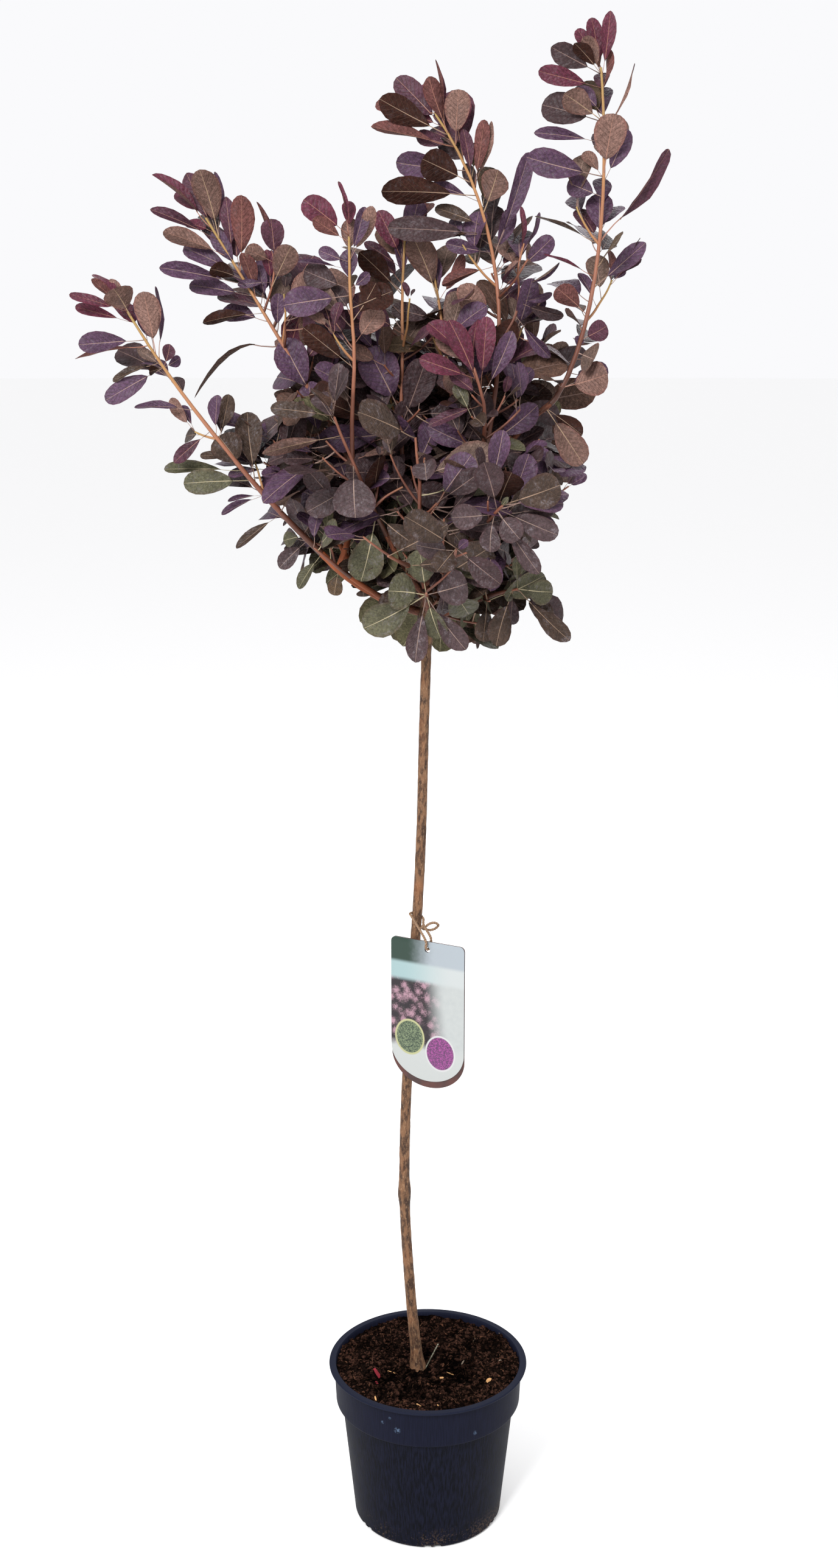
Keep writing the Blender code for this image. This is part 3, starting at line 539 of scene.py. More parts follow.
# %% Masses
Mass = namedtuple("Mass", "name length tip ease leaves bare blade spread twigs twig_length twig_leaves")
MASSES = [Mass(*row) for row in (
    ("left", 0.292, (184, 60), 1.0, 17, 0.06, 0.054, (72, 26), 2, 0.03, 3),
    ("left_upright", 0.225, (160, 88), 1.0, 14, 0.06, 0.056, (66, 22), 2, 0.04, 4),
    ("upper_left", 0.295, (178, 58), 1.0, 20, 0.04, 0.058, (74, 26), 3, 0.05, 4),
    ("centre_left", 0.230, (60, 84), 1.0, 17, 0.04, 0.060, (74, 30), 3, 0.05, 4),
    ("centre_thin", 0.200, (180, 78), 1.0, 12, 0.10, 0.056, (70, 24), 2, 0.04, 3),
    ("centre", 0.335, (180, 52), 1.4, 19, 0.04, 0.062, (70, 24), 2, 0.05, 4),
    ("right", 0.310, (180, 84), 0.3, 19, 0.03, 0.058, (72, 26), 2, 0.05, 3),
    ("front_right", 0.085, (200, 66), 1.0, 12, 0.10, 0.060, (80, 26), 2, 0.04, 3),
    ("front", 0.155, (250, 82), 1.0, 18, 0.04, 0.066, (84, 44), 3, 0.05, 4),
    ("front_left", 0.125, (206, 68), 1.0, 14, 0.05, 0.062, (84, 46), 3, 0.05, 4),
    ("front_mid", 0.040, (240, 20), 1.0, 9, 0.15, 0.060, (94, 66), 2, 0.03, 3),
    ("front_core", 0.044, (272, 36), 1.0, 11, 0.10, 0.058, (98, 66), 1, 0.03, 3),
    ("front_low", 0.060, (300, 30), 1.0, 10, 0.15, 0.060, (94, 64), 2, 0.03, 3),
    ("right_low", 0.130, (2, 60), 1.0, 15, 0.05, 0.062, (84, 38), 3, 0.05, 4),
    ("low_front", 0.032, (268, 28), 1.0, 10, 0.15, 0.055, (92, 66), 1, 0.02, 2),
    ("low_right", 0.034, (318, 10), 1.0, 10, 0.20, 0.060, (98, 66), 1, 0.02, 2),
    ("low_back", 0.070, (88, 20), 1.0, 10, 0.12, 0.060, (94, 50), 1, 0.04, 3),
    ("low_left", 0.050, (206, 40), 1.0, 8, 0.12, 0.046, (88, 50), 1, 0.03, 2),
    ("left_mid", 0.090, (190, 58), 1.0, 11, 0.06, 0.058, (84, 42), 2, 0.04, 3),
    ("left_back", 0.160, (140, 68), 1.0, 14, 0.05, 0.060, (82, 36), 2, 0.05, 4),
    ("back", 0.180, (90, 80), 1.0, 16, 0.05, 0.062, (82, 36), 3, 0.05, 4),
    ("back_right", 0.165, (40, 72), 1.0, 14, 0.05, 0.062, (82, 36), 2, 0.05, 4),
    ("back_left", 0.140, (136, 76), 1.0, 12, 0.05, 0.060, (82, 36), 2, 0.05, 4),
)]
STEM_SOCKET = 0.004
CLEARANCE = 0.0003


def mass_stem(mass):
    """The stem of a mass, growing on square from the tip of its bough."""
    points, radii = LIMBS[mass.name]
    way = (points[-1] - points[-2]).normalized()
    start = points[-1] + way * CLEARANCE
    bent = bend(start + way * STEM_SOCKET, way, direction(mass.tip), mass.length, mass.ease)
    return [start, *bent]


STEMS = {mass.name: mass_stem(mass) for mass in MASSES}
print(len(STEMS), "stems, the highest tip at", round(max(s[-1].z for s in STEMS.values()), 3), "m")

# %% [markdown]
# ## One leaf in space
#
# A leaf is a root, an axis that points along it and an upper side that looks up its stem, to the
# sky and out of the crown. The leaves stand in a spiral: each one is turned 137.5 degrees from the
# one below, the angle at which leaves shade one another least.

# %% Leaves in space
Leaf = namedtuple("Leaf", "root axis up stalk blade width")
STALK_SHARE = 0.36
BLADE_WIDTH_SHARE = 0.62
BLADE_WIDEST = 0.60
BLADE_TIP_SHARE = 0.42
LEAF_ARCH = 0.10
LEAF_OUTLOOK = 0.6
LOOKS_BACK_FROM = 0.06
GOLDEN_ANGLE = 137.5


def leaf_point(leaf, share, side):
    """A point of the leaf: share runs along the blade, side is in half widths."""
    hang = LEAF_ARCH * leaf.blade * max(share, 0) ** 2
    across = leaf.axis.cross(leaf.up)
    reach = leaf.stalk + share * leaf.blade
    return leaf.root + leaf.axis * reach + across * (side * leaf.width / 2) - leaf.up * hang


def leaf_samples(leaf):
    """Points all over the leaf, for the tests of its space."""
    spots = [(share, 0) for share in (-0.2, 0, 0.2, 0.4, 0.6, 0.8, 1)]
    spots += [(share, side) for side in (-1, 1) for share in (0.4, BLADE_WIDEST, 0.8)]
    spots += [(1, side * BLADE_TIP_SHARE) for side in (-1, 1)]
    spots += [(share, side * 0.55) for side in (-1, 1) for share in (0.25, 0.5, 0.75)]
    return [leaf_point(leaf, share, side) for share, side in spots]


def leaning(way, turn, spread):
    """Direction that leans out from a stem by spread degrees, at a turn around it."""
    side = way.cross(Vector((0.13, -0.99, 0.02))).normalized()
    around = Matrix.Rotation(math.radians(turn), 3, way) @ side
    angle = math.radians(spread)
    return (way * math.cos(angle) + around * math.sin(angle)).normalized()


def make_leaf(root, way, turn, spread, blade, droop, roll):
    """A leaf whose upper side looks along the stem, to the sky and out of the crown."""
    axis = (leaning(way, turn, spread) - Vector((0, 0, droop))).normalized()
    outward = -1 if root.y < LOOKS_BACK_FROM else 1
    up = way * 0.45 + Vector((0, outward * LEAF_OUTLOOK, 0.3))
    up = Matrix.Rotation(math.radians(roll), 3, axis) @ (up - axis * up.dot(axis)).normalized()
    return Leaf(root, axis, up, blade * STALK_SHARE, blade, blade * BLADE_WIDTH_SHARE)


print("a 60 mm blade is", round(60 * BLADE_WIDTH_SHARE), "mm wide on a stalk of",
      round(60 * STALK_SHARE), "mm")

# %% [markdown]
# ## The space of each mass
#
# Leaves must not grow through one another. A point belongs to the mass whose stem is nearest, and
# it has to stay clear of every bough. A KD tree sorts many points once, and then finds the nearest
# of them quickly.

# %% Space round the stems
SAMPLE_STEP = 0.006
SPACE_MARGIN = 0.0012
LIMB_MARGIN = 0.0015


def dense(points):
    """Points every few millimetres along a route."""
    count = max(2, math.ceil(route_length(points) / SAMPLE_STEP))
    return [along(points, k / count)[0] for k in range(count + 1)]


def tree_of(points):
    tree = KDTree(len(points))
    for index, point in enumerate(points):
        tree.insert(point, index)
    tree.balance()
    return tree


class Space:
    """Which points belong to which mass, and how near the limbs are."""

    def __init__(self):
        spots = [(point, name) for name, points in STEMS.items() for point in dense(points)]
        self.owners = [name for point, name in spots]
        self.stems = tree_of([point for point, name in spots])
        limbs = []
        for points, radii in LIMBS.values():
            fine = dense(points)
            for k, point in enumerate(fine):
                place = k / (len(fine) - 1) * (len(radii) - 1)
                limbs.append((point, radii[min(round(place), len(radii) - 1)]))
        self.limb_radii = [radius for point, radius in limbs]
        self.limbs = tree_of([point for point, radius in limbs])

    def clear_of_limbs(self, point):
        near = self.limbs.find_range(point, 0.02)
        return all(gap > self.limb_radii[i] + LIMB_MARGIN for place, i, gap in near)

    def holds(self, owner, point):
        own = self.stems.find(point, filter=lambda i: self.owners[i] == owner)[2]
        other = self.stems.find(point, filter=lambda i: self.owners[i] != owner)[2]
        return own + 2 * SPACE_MARGIN <= other and self.clear_of_limbs(point)


SPACE = Space()
print(len(SPACE.owners), "points along the stems and", len(SPACE.limb_radii), "along the limbs")

# %% [markdown]
# ## The solid plant's twigs and leaves
#
# With the same seeds and the same order of random draws, this gives the very twigs and leaves of
# the solid masses. A leaf that finds no room is turned or shortened a few times, and is left out if
# that doesn't help.

# %% Grow the masses again
SIDE_TWIG_SPREAD = 48
SIDE_TWIG_RANGE = (0.15, 0.6)
SIDE_TWIG_BARE = 0.25
SIDE_BLADE_SHARE = 0.9
SIDE_LEAF_SPREAD = (66, 30)
LEAF_DROOP = 0.22
LEAF_ROLL = 28
LEAF_SPACING = 0.004
LEAF_CROWDING = 0.80
TIP_SHORTENING = 0.38
LEAF_TRIES = ((0, 1.0), (28, 1.0), (-28, 1.0), (56, 0.9), (-56, 0.9), (14, 0.72), (-70, 0.72))


def blend(pair, share):
    """A value between the two of a pair."""
    return pair[0] + (pair[1] - pair[0]) * share


def first_fit(tries, fits, rng, root, way, turn, stand, blade, droop):
    """The first of a few turns and sizes of a leaf that finds room, or None."""
    roll = rng.uniform(-LEAF_ROLL, LEAF_ROLL)
    for shift, scale in tries:
        leaf = make_leaf(root, way, turn + shift, stand, blade * scale, droop, roll)
        if fits(leaf):
            return leaf
    return None


def leaves_along(points, count, bare, blade, spread, rng, fits):
    """Leaves in a spiral up one stem, each turned or shortened until it fits its space."""
    leaves = []
    first = rng.uniform(0, 360)
    for k in range(count):
        share = ((k + 1) / count) ** LEAF_CROWDING
        root, way = along(points, bare + (0.995 - bare) * share)
        size = blade * (1 - TIP_SHORTENING * share**2) * rng.uniform(0.86, 1.08)
        stand = blend(spread, share) + rng.uniform(-8, 8)
        turn = first + k * GOLDEN_ANGLE + rng.uniform(-12, 12)
        leaf = first_fit(LEAF_TRIES, fits, rng, root, way, turn, stand, size, LEAF_DROOP * (1 - share))
        if leaf:
            leaves.append(leaf)
    return leaves


def side_twigs(mass, stem, rng):
    """Short twigs that leave the stem at the golden angle and turn upwards."""
    twigs = []
    low, high = SIDE_TWIG_RANGE
    for k in range(mass.twigs):
        root, way = along(stem, low + (high - low) * (k + 0.5) / mass.twigs)
        for shift in (0, 90, 180, 270):
            turn = k * GOLDEN_ANGLE + shift + rng.uniform(0, 60)
            foot = leaning(way, turn, SIDE_TWIG_SPREAD)
            tip = (foot + way * 0.8 + Vector((0, 0, 0.3))).normalized()
            points = bend(root, foot, tip, mass.twig_length * rng.uniform(0.85, 1.15))
            if all(SPACE.holds(mass.name, point) for point in points[2:]):
                twigs.append(points)
                break
    return twigs


def grow(mass, seed):
    """The side twigs and leaves of a mass."""
    rng = random.Random(seed)
    taken = []
    stem = STEMS[mass.name]

    def fits(leaf):
        spots = leaf_samples(leaf)
        if not all(SPACE.holds(mass.name, point) for point in spots):
            return False
        if any((a - b).length < LEAF_SPACING for a in spots[1:] for b in taken):
            return False
        taken.extend(spots[1:])
        return True

    twigs = side_twigs(mass, stem, rng)
    leaves = leaves_along(stem, mass.leaves, mass.bare, mass.blade, mass.spread, rng, fits)
    for twig in twigs:
        leaves += leaves_along(twig, mass.twig_leaves, SIDE_TWIG_BARE,
                               mass.blade * SIDE_BLADE_SHARE, SIDE_LEAF_SPREAD, rng, fits)
    return twigs, leaves


GROWN = {mass.name: grow(mass, seed) for seed, mass in enumerate(MASSES)}
print(sum(len(twigs) for twigs, leaves in GROWN.values()), "side twigs and",
      sum(len(leaves) for twigs, leaves in GROWN.values()), "leaves")

# %% [markdown]
# ## Leaves that show against the sky
#
# Along the outer shoots every leaf has its own outline against the sky, so these are read from the
# picture. A row gives the pixels of its root and its tip, how many millimetres the tip comes
# forward, its width in pixels, its roll (at 0 degrees the upper side faces the camera, at 180 the
# underside) and its tone, which is purple if none is given. The root slides onto the nearest point
# of the stem.

# %% Read the outer leaves
PICTURE_CENTRE = (PICTURE_SIZE[0] / 2, PICTURE_SIZE[1] / 2)
TIP_SHORTFALL = 0.05
CAMERA_TURN = camera.rotation_euler.to_matrix()
Placed = namedtuple("Placed", "leaf kind mass tone", defaults=(None,))
Sighting = namedtuple("Sighting", "root_x root_y tip_x tip_y forward width roll tone",
                      defaults=("purple",))
SHOWN_TWIGS = {
    "upper_left": ((434, 508), (447, 470), (452, 432)),
    "centre": ((817, 560), (846, 520), (853, 480), (851, 445), (861, 400)),
    "front_left": ((606, 838), (635, 815), (662, 800)),
}
SHOWN_LEAVES = {
    "left": (
        (212, 528, 188, 470, 20, 46, 180, "tan"), (252, 592, 238, 478, 8, 46, 180, "plum"),
        (260, 594, 264, 472, -4, 24, 65), (197, 522, 157, 441, -8, 26, 40, "young"),
        (197, 520, 150, 458, 10, 24, 160, "young"), (197, 522, 116, 482, 4, 18, 20, "young"),
        (210, 540, 118, 502, -6, 20, 10, "young"), (196, 520, 180, 463, -14, 34, 170, "plum"),
        (236, 566, 126, 566, 6, 44, 15), (240, 576, 124, 577, -6, 24, 130, "young"),
        (250, 598, 183, 620, 4, 20, 60, "umber"), (262, 604, 174, 655, 8, 30, 10),
        (262, 604, 228, 572, -6, 24, 160), (266, 606, 282, 568, 6, 30, 0, "plum"),
        (266, 606, 297, 590, -4, 22, 20), (266, 610, 243, 612, 14, 24, 150, "umber"),
        (318, 670, 219, 660, 6, 18, 30), (350, 728, 378, 650, 6, 28, 30, "umber"),
        (344, 716, 284, 758, 8, 26, 20, "plum"), (385, 785, 264, 766, -6, 24, 20, "moss"),
        (398, 796, 303, 792, 10, 40, 5, "moss"), (366, 758, 330, 747, 4, 18, 30, "umber"),
        (388, 786, 362, 716, 6, 52, 10, "umber"), (406, 806, 402, 674, -8, 54, 5, "umber"),
        (418, 828, 361, 842, 4, 14, 30), (418, 826, 373, 820, -4, 14, 20),
        (455, 855, 387, 897, 6, 22, 20, "umber"), (506, 884, 458, 930, 8, 34, 5, "mauve"),
        (500, 878, 464, 888, -4, 30, 20, "moss"), (526, 918, 488, 964, 4, 28, 30, "moss"),
        (552, 940, 548, 977, 4, 24, 10, "tan"), (604, 958, 597, 980, 3, 20, 0, "umber"),
    ),
    "upper_left": (
        (347, 398, 333, 275, 10, 48, 178, "tan"), (345, 385, 259, 274, 4, 22, 60, "young"),
        (347, 396, 303, 281, -8, 42, 0, "plum"), (362, 400, 358, 283, -6, 22, 30),
        (352, 398, 249, 338, 4, 28, 15, "plum"), (372, 424, 268, 374, 12, 34, 170, "plum"),
        (396, 452, 304, 404, -6, 28, 20), (385, 430, 371, 322, 4, 34, 5, "plum"),
        (402, 440, 401, 320, 12, 40, 172, "young"), (400, 458, 345, 436, 10, 32, 165, "umber"),
        (404, 471, 263, 434, 8, 38, 5), (418, 487, 306, 463, -4, 34, 10),
        (437, 516, 331, 523, 6, 28, 160, "umber"), (452, 432, 447, 361, 4, 34, 5, "plum"),
        (450, 436, 402, 406, 8, 26, 165, "plum"), (448, 470, 478, 403, 10, 44, 175, "tan"),
        (447, 462, 390, 466, 4, 18, 20), (438, 500, 426, 432, -4, 20, 20),
        (462, 545, 457, 482, 2, 22, 10), (540, 650, 460, 560, 8, 60, 5),
        (396, 452, 350, 376, 2, 34, 10), (424, 492, 404, 412, 6, 32, 160, "young"),
        (447, 470, 440, 408, -4, 26, 20, "young"), (424, 412, 430, 330, 0, 10, 60, "young"),
    ),
    "left_upright": (
        (560, 392, 563, 297, 0, 8, 60, "young"), (564, 392, 502, 327, 4, 40, 10, "young"),
        (564, 394, 514, 360, 12, 26, 165, "young"), (572, 428, 601, 339, 4, 26, 15),
        (574, 432, 617, 341, -4, 22, 160, "plum"), (572, 430, 523, 412, 4, 24, 10),
        (570, 440, 490, 426, -2, 14, 20), (566, 490, 466, 500, 12, 54, 0),
        (566, 475, 498, 445, -6, 40, 10, "dusk"), (570, 470, 608, 452, 6, 26, 5),
        (575, 512, 643, 478, 10, 38, 165, "umber"), (573, 525, 622, 466, 4, 44, 165, "umber"),
        (572, 600, 500, 540, 6, 40, 165, "umber"), (590, 470, 572, 408, 0, 34, 5),
    ),
    "centre_left": (
        (664, 440, 601, 397, 4, 22, 10, "plum"), (666, 430, 623, 345, -6, 34, 5, "young"),
        (668, 420, 690, 326, -10, 40, 5), (655, 480, 592, 410, 8, 44, 170, "umber"),
        (664, 680, 606, 572, 14, 62, 0), (668, 706, 702, 592, 6, 60, 5, "dusk"),
        (590, 715, 673, 702, 16, 54, 0), (590, 712, 522, 724, 14, 54, 0),
        (664, 470, 658, 384, -8, 30, 10),
    ),
    "centre_thin": (
        (708, 500, 684, 386, 10, 50, 178, "tan"), (712, 500, 717, 420, -6, 26, 5),
        (710, 500, 766, 420, 4, 24, 150, "young"), (718, 530, 645, 505, 4, 34, 10, "dusk"),
    ),
    "centre": (
        (734, 218, 722, 99, 4, 18, 60, "young"), (730, 218, 652, 126, -6, 46, 5, "plum"),
        (732, 222, 700, 128, 8, 42, 178, "young"), (744, 245, 752, 148, 14, 40, 178, "plum"),
        (752, 245, 769, 157, -8, 26, 10, "young"), (724, 235, 624, 166, 8, 52, 172, "umber"),
        (720, 257, 612, 205, -2, 30, 150, "young"), (735, 255, 682, 222, -10, 26, 5, "plum"),
        (758, 290, 647, 270, -6, 52, 5), (768, 302, 690, 258, 12, 50, 170, "umber"),
        (772, 322, 627, 309, 4, 42, 172, "umber"), (772, 302, 764, 213, 4, 24, 10, "plum"),
        (780, 306, 796, 199, 6, 24, 165, "young"), (784, 308, 813, 202, 0, 18, 150, "plum"),
        (796, 350, 822, 278, 12, 56, 175, "tan"), (803, 425, 874, 251, 4, 28, 20),
        (806, 425, 843, 342, -6, 28, 20), (802, 418, 733, 402, 8, 30, 5),
        (796, 385, 640, 372, 10, 46, 5, "dusk"), (796, 380, 674, 384, -4, 26, 160, "umber"),
        (803, 440, 722, 462, 4, 24, 160, "young"), (860, 430, 866, 340, 4, 12, 60, "young"),
        (858, 420, 894, 352, 0, 10, 60), (851, 445, 909, 392, 6, 32, 10),
        (852, 476, 922, 437, 2, 14, 50), (850, 500, 925, 525, 6, 26, 20, "dusk"),
        (846, 520, 900, 590, 4, 28, 10), (846, 510, 828, 565, 0, 34, 165, "umber"),
        (808, 738, 885, 673, 14, 62, 0), (796, 742, 703, 704, 12, 44, 0),
        (790, 332, 710, 298, -6, 30, 10), (786, 330, 764, 266, -8, 26, 5, "dusk"),
        (792, 372, 712, 336, -8, 28, 10, "umber"), (850, 502, 910, 486, 0, 16, 20),
    ),
    "right": (
        (984, 128, 1006, 16, 6, 30, 15, "young"), (982, 122, 974, 28, -4, 26, 10, "young"),
        (976, 112, 950, 47, -10, 22, 10, "young"), (974, 118, 906, 78, 6, 46, 5, "dusk"),
        (974, 120, 945, 66, 14, 34, 165, "umber"), (978, 125, 962, 60, 8, 30, 150, "plum"),
        (978, 150, 886, 117, 4, 30, 10, "young"), (980, 196, 888, 168, -6, 48, 5, "dusk"),
        (984, 205, 926, 150, 12, 50, 178, "tan"), (988, 160, 1004, 83, -6, 20, 120, "young"),
        (994, 225, 1054, 111, 4, 20, 120, "plum"), (992, 285, 1006, 188, 12, 46, 178, "plum"),
        (995, 300, 1035, 210, 4, 36, 5), (984, 229, 880, 213, 4, 30, 10),
        (986, 295, 866, 262, 10, 54, 5), (988, 318, 932, 300, -6, 34, 15),
        (985, 405, 985, 312, -12, 50, 5), (980, 397, 1110, 254, 4, 28, 55, "plum"),
        (958, 470, 1062, 398, 6, 36, 5), (962, 478, 1058, 400, -6, 14, 130, "umber"),
        (980, 402, 884, 349, 4, 16, 60, "umber"), (962, 455, 898, 413, 4, 12, 60, "young"),
        (940, 512, 914, 468, 6, 34, 160, "young"), (932, 550, 997, 538, 6, 34, 10, "plum"),
        (925, 575, 980, 592, 12, 56, 165), (905, 627, 1002, 617, 8, 54, 160, "plum"),
        (900, 630, 1000, 606, -8, 34, 5), (895, 670, 958, 760, 8, 42, 170, "tan"),
        (890, 660, 956, 712, -6, 38, 170, "umber"), (905, 562, 954, 552, 0, 24, 10),
    ),
    "front_right": (
        (788, 645, 744, 526, 14, 52, 0, "young"), (776, 628, 690, 590, 10, 36, 10, "young"),
        (792, 640, 800, 521, 6, 36, 10, "young"), (800, 655, 846, 548, 10, 46, 0),
        (784, 662, 705, 694, 10, 20, 30, "plum"), (786, 650, 740, 612, 4, 30, 20, "plum"),
    ),
    "front_left": (
        (578, 768, 581, 848, 16, 62, 0, "mauve"), (588, 790, 506, 842, 10, 42, 5, "mauve"),
        (664, 800, 735, 816, 6, 44, 5, "dusk"), (652, 802, 656, 748, 0, 24, 20, "dusk"),
        (612, 850, 598, 956, 14, 60, 5, "moss"), (614, 850, 682, 902, 18, 56, 0, "umber"),
        (505, 735, 429, 740, 6, 32, 165, "tan"), (515, 670, 446, 668, 6, 32, 10, "umber"),
    ),
    "front_mid": (
        (668, 832, 734, 866, 14, 44, 0, "umber"), (700, 862, 738, 926, 16, 44, 0, "umber"),
    ),
    "front_core": (
        (751, 896, 672, 850, 44, 44, 0, "umber"), (750, 896, 724, 930, 38, 42, 0, "umber"),
        (748, 904, 690, 900, 26, 40, 0, "mauve"),
    ),
    "front_low": (
        (800, 830, 800, 905, 10, 46, 0, "mauve"), (798, 830, 745, 852, 14, 40, 5, "mauve"),
        (800, 828, 800, 762, 16, 54, 0, "dusk"), (838, 832, 919, 800, 8, 50, 0, "umber"),
        (815, 835, 914, 880, 6, 40, 0, "mauve"), (815, 838, 882, 945, 8, 42, 0, "mauve"),
        (812, 838, 850, 885, 18, 46, 10, "mauve"),
    ),
    "low_front": (
        (705, 978, 600, 1038, 10, 66, 0, "moss"), (704, 980, 677, 1086, 14, 54, 0, "mauve"),
        (704, 976, 688, 906, 14, 52, 0, "moss"), (704, 977, 640, 968, 4, 56, 10, "moss"),
        (708, 980, 760, 1070, 12, 60, 0, "mauve"), (708, 978, 765, 962, 26, 56, 0, "mauve"),
        (710, 978, 720, 1050, 0, 40, 10, "moss"),
    ),
    "low_right": (
        (848, 960, 932, 1056, 10, 44, 0, "umber"), (842, 962, 810, 1058, 14, 52, 0, "umber"),
        (846, 962, 838, 1030, -4, 30, 0, "dusk"), (850, 958, 908, 975, 8, 40, 5, "moss"),
        (846, 956, 848, 915, 6, 20, 0, "moss"), (846, 962, 832, 985, 10, 20, 0, "moss"),
    ),
}
SICKLE_LEAVES = {"upper_left": ((470, 566, 296, 560, 0, 40, 90, "dusk"),)}


def in_picture(point):
    """The pixel where a point shows."""
    across, up, back = CAMERA_TURN.transposed() @ (point - CAMERA_PLACE)
    scale = FOCAL_LENGTH_PIXELS / -back
    return PICTURE_CENTRE[0] + across * scale, PICTURE_CENTRE[1] - up * scale


def under_pixel(spot, depth):
    """The point with the given Y that shows at a pixel."""
    across, up = spot[0] - PICTURE_CENTRE[0], PICTURE_CENTRE[1] - spot[1]
    ray = CAMERA_TURN @ Vector((across, up, -FOCAL_LENGTH_PIXELS))
    return CAMERA_PLACE + ray * ((depth - CAMERA_PLACE.y) / ray.y)


def nearest_in_picture(points, spot):
    return min(points, key=lambda point: math.dist(in_picture(point), spot))


def shown_twig(name, spots):
    """A twig through the given pixels, growing from the stem of a mass."""
    root = nearest_in_picture(dense(STEMS[name]), spots[0])
    return [root, *(under_pixel(spot, root.y) for spot in spots[1:])]


def shown_leaf(points, seen):
    """A leaf between two pixels, its root on the nearest of the given points."""
    root = nearest_in_picture(points, (seen.root_x, seen.root_y))
    tip = under_pixel((seen.tip_x, seen.tip_y), root.y - seen.forward / 1000)
    axis = (tip - root).normalized()
    blade = (tip - root).length / (1 + STALK_SHARE - TIP_SHORTFALL)
    edge = under_pixel((seen.tip_x + seen.width, seen.tip_y), tip.y)
    to_camera = CAMERA_PLACE - root
    up = (to_camera - axis * to_camera.dot(axis)).normalized()
    up = Matrix.Rotation(math.radians(seen.roll), 3, axis) @ up
    return Leaf(root, axis, up, blade * STALK_SHARE, blade, (edge - tip).length)


EXTRA_TWIGS = {name: [shown_twig(name, spots)] for name, spots in SHOWN_TWIGS.items()}
SHOWN = {}
for mass in MASSES:
    routes = [STEMS[mass.name], LIMBS[mass.name][0], *EXTRA_TWIGS.get(mass.name, ())]
    spots = [point for route in routes for point in dense(route)]
    SHOWN[mass.name] = [
        Placed(shown_leaf(spots, seen), kind, mass.name, seen.tone)
        for kind, table in (("shown", SHOWN_LEAVES), ("sickle", SICKLE_LEAVES))
        for seen in (Sighting(*row) for row in table.get(mass.name, ()))
    ]
print(sum(len(leaves) for leaves in SHOWN.values()), "leaves read from the picture")

# %% [markdown]
# ## Finer growth
#
# The solids carry only the main leaves. A real crown has more: a tuft of small young leaves at
# every tip, smaller leaves between the large ones, and spurs, stubby twigs with a rosette of
# leaves. A new leaf keeps a few millimetres from all others, hides no leaf or stem that shows, and
# stays out of the circles of open sky, each a pixel and a radius. Small boxes find what is near.

# %% Room for finer leaves
FINE_SPACING = 0.0026
VIEW_BOX = 16
CROWN_BOTTOM = 0.925
SHOWN_LEAF_REACH = 11
SHOWN_STEM_REACH = 7
SHOWN_STEMS = (
    (LIMBS["left"][0], 0.4, 1.0), (STEMS["left"], 0.0, 0.9), (STEMS["left_upright"], 0.2, 0.8),
    (STEMS["centre"], 0.15, 0.7), (STEMS["right"], 0.1, 0.8), (STEMS["upper_left"], 0.5, 0.9),
    (STEMS["centre_thin"], 0.6, 1.0),
)
OPEN_SKY = (
    (205, 430, 24), (235, 445, 16), (170, 418, 18), (150, 528, 10), (318, 558, 24), (345, 572, 14),
    (318, 610, 10), (245, 690, 14), (275, 705, 20), (250, 720, 20), (235, 640, 8), (340, 838, 18),
    (325, 822, 12), (362, 868, 18), (395, 925, 22), (368, 925, 24), (430, 905, 16), (440, 880, 10),
    (445, 920, 9), (470, 972, 18), (448, 955, 14), (515, 985, 20), (545, 995, 16), (580, 1000, 18),
    (575, 1030, 20), (520, 960, 8), (655, 1112, 22), (632, 1092, 20), (610, 1075, 16), (865, 1062, 24),
    (868, 1022, 12), (890, 1085, 26), (830, 1090, 16), (925, 905, 20), (935, 940, 24), (950, 985, 20),
    (930, 970, 8), (960, 1020, 16), (950, 820, 22), (1000, 850, 44), (935, 845, 10), (985, 800, 20),
    (1015, 770, 36), (990, 735, 18), (985, 695, 20), (1030, 690, 40), (955, 678, 8), (1010, 665, 10),
    (940, 880, 16), (1045, 730, 30), (1032, 568, 28), (1012, 600, 8), (1040, 625, 30), (1015, 650, 10),
    (1005, 480, 18), (1040, 485, 28), (1095, 480, 34), (995, 505, 18), (978, 520, 6), (1080, 440, 14),
    (1075, 335, 22), (1100, 305, 16), (1045, 365, 16), (1010, 380, 12), (1025, 115, 14), (1040, 80, 24),
    (1050, 170, 14), (1060, 210, 16), (1035, 275, 16), (1025, 45, 16), (835, 230, 18), (825, 255, 10),
    (895, 315, 24), (912, 330, 10), (640, 328, 10), (722, 395, 7), (745, 465, 8), (588, 300, 20),
    (588, 325, 10), (640, 105, 16), (672, 108, 10), (700, 115, 8), (745, 130, 10), (532, 388, 8),
    (395, 545, 10), (365, 548, 12), (430, 545, 6), (420, 610, 24), (400, 640, 20), (380, 615, 22),
    (425, 660, 10), (435, 630, 9), (275, 322, 8), (352, 272, 8), (925, 390, 18), (945, 400, 10),
    (938, 445, 6), (690, 470, 6), (868, 320, 14), (745, 332, 9), (690, 106, 14), (885, 548, 6),
    (440, 600, 10), (448, 530, 8), (225, 455, 12), (268, 316, 10), (258, 640, 8), (412, 660, 10),
    (800, 1094, 16), (782, 1088, 10), (975, 712, 14), (750, 455, 9), (782, 446, 8), (900, 900, 10),
    (905, 925, 10), (775, 1012, 6), (320, 640, 10), (405, 845, 14), (920, 550, 6), (1040, 155, 8),
    (1018, 90, 8), (765, 402, 6), (550, 320, 10), (345, 508, 12), (330, 500, 10), (337, 618, 15),
    (337, 648, 13), (390, 570, 12), (414, 576, 12), (434, 580, 6), (436, 650, 9), (446, 672, 8),
    (430, 676, 7), (438, 545, 12),
)


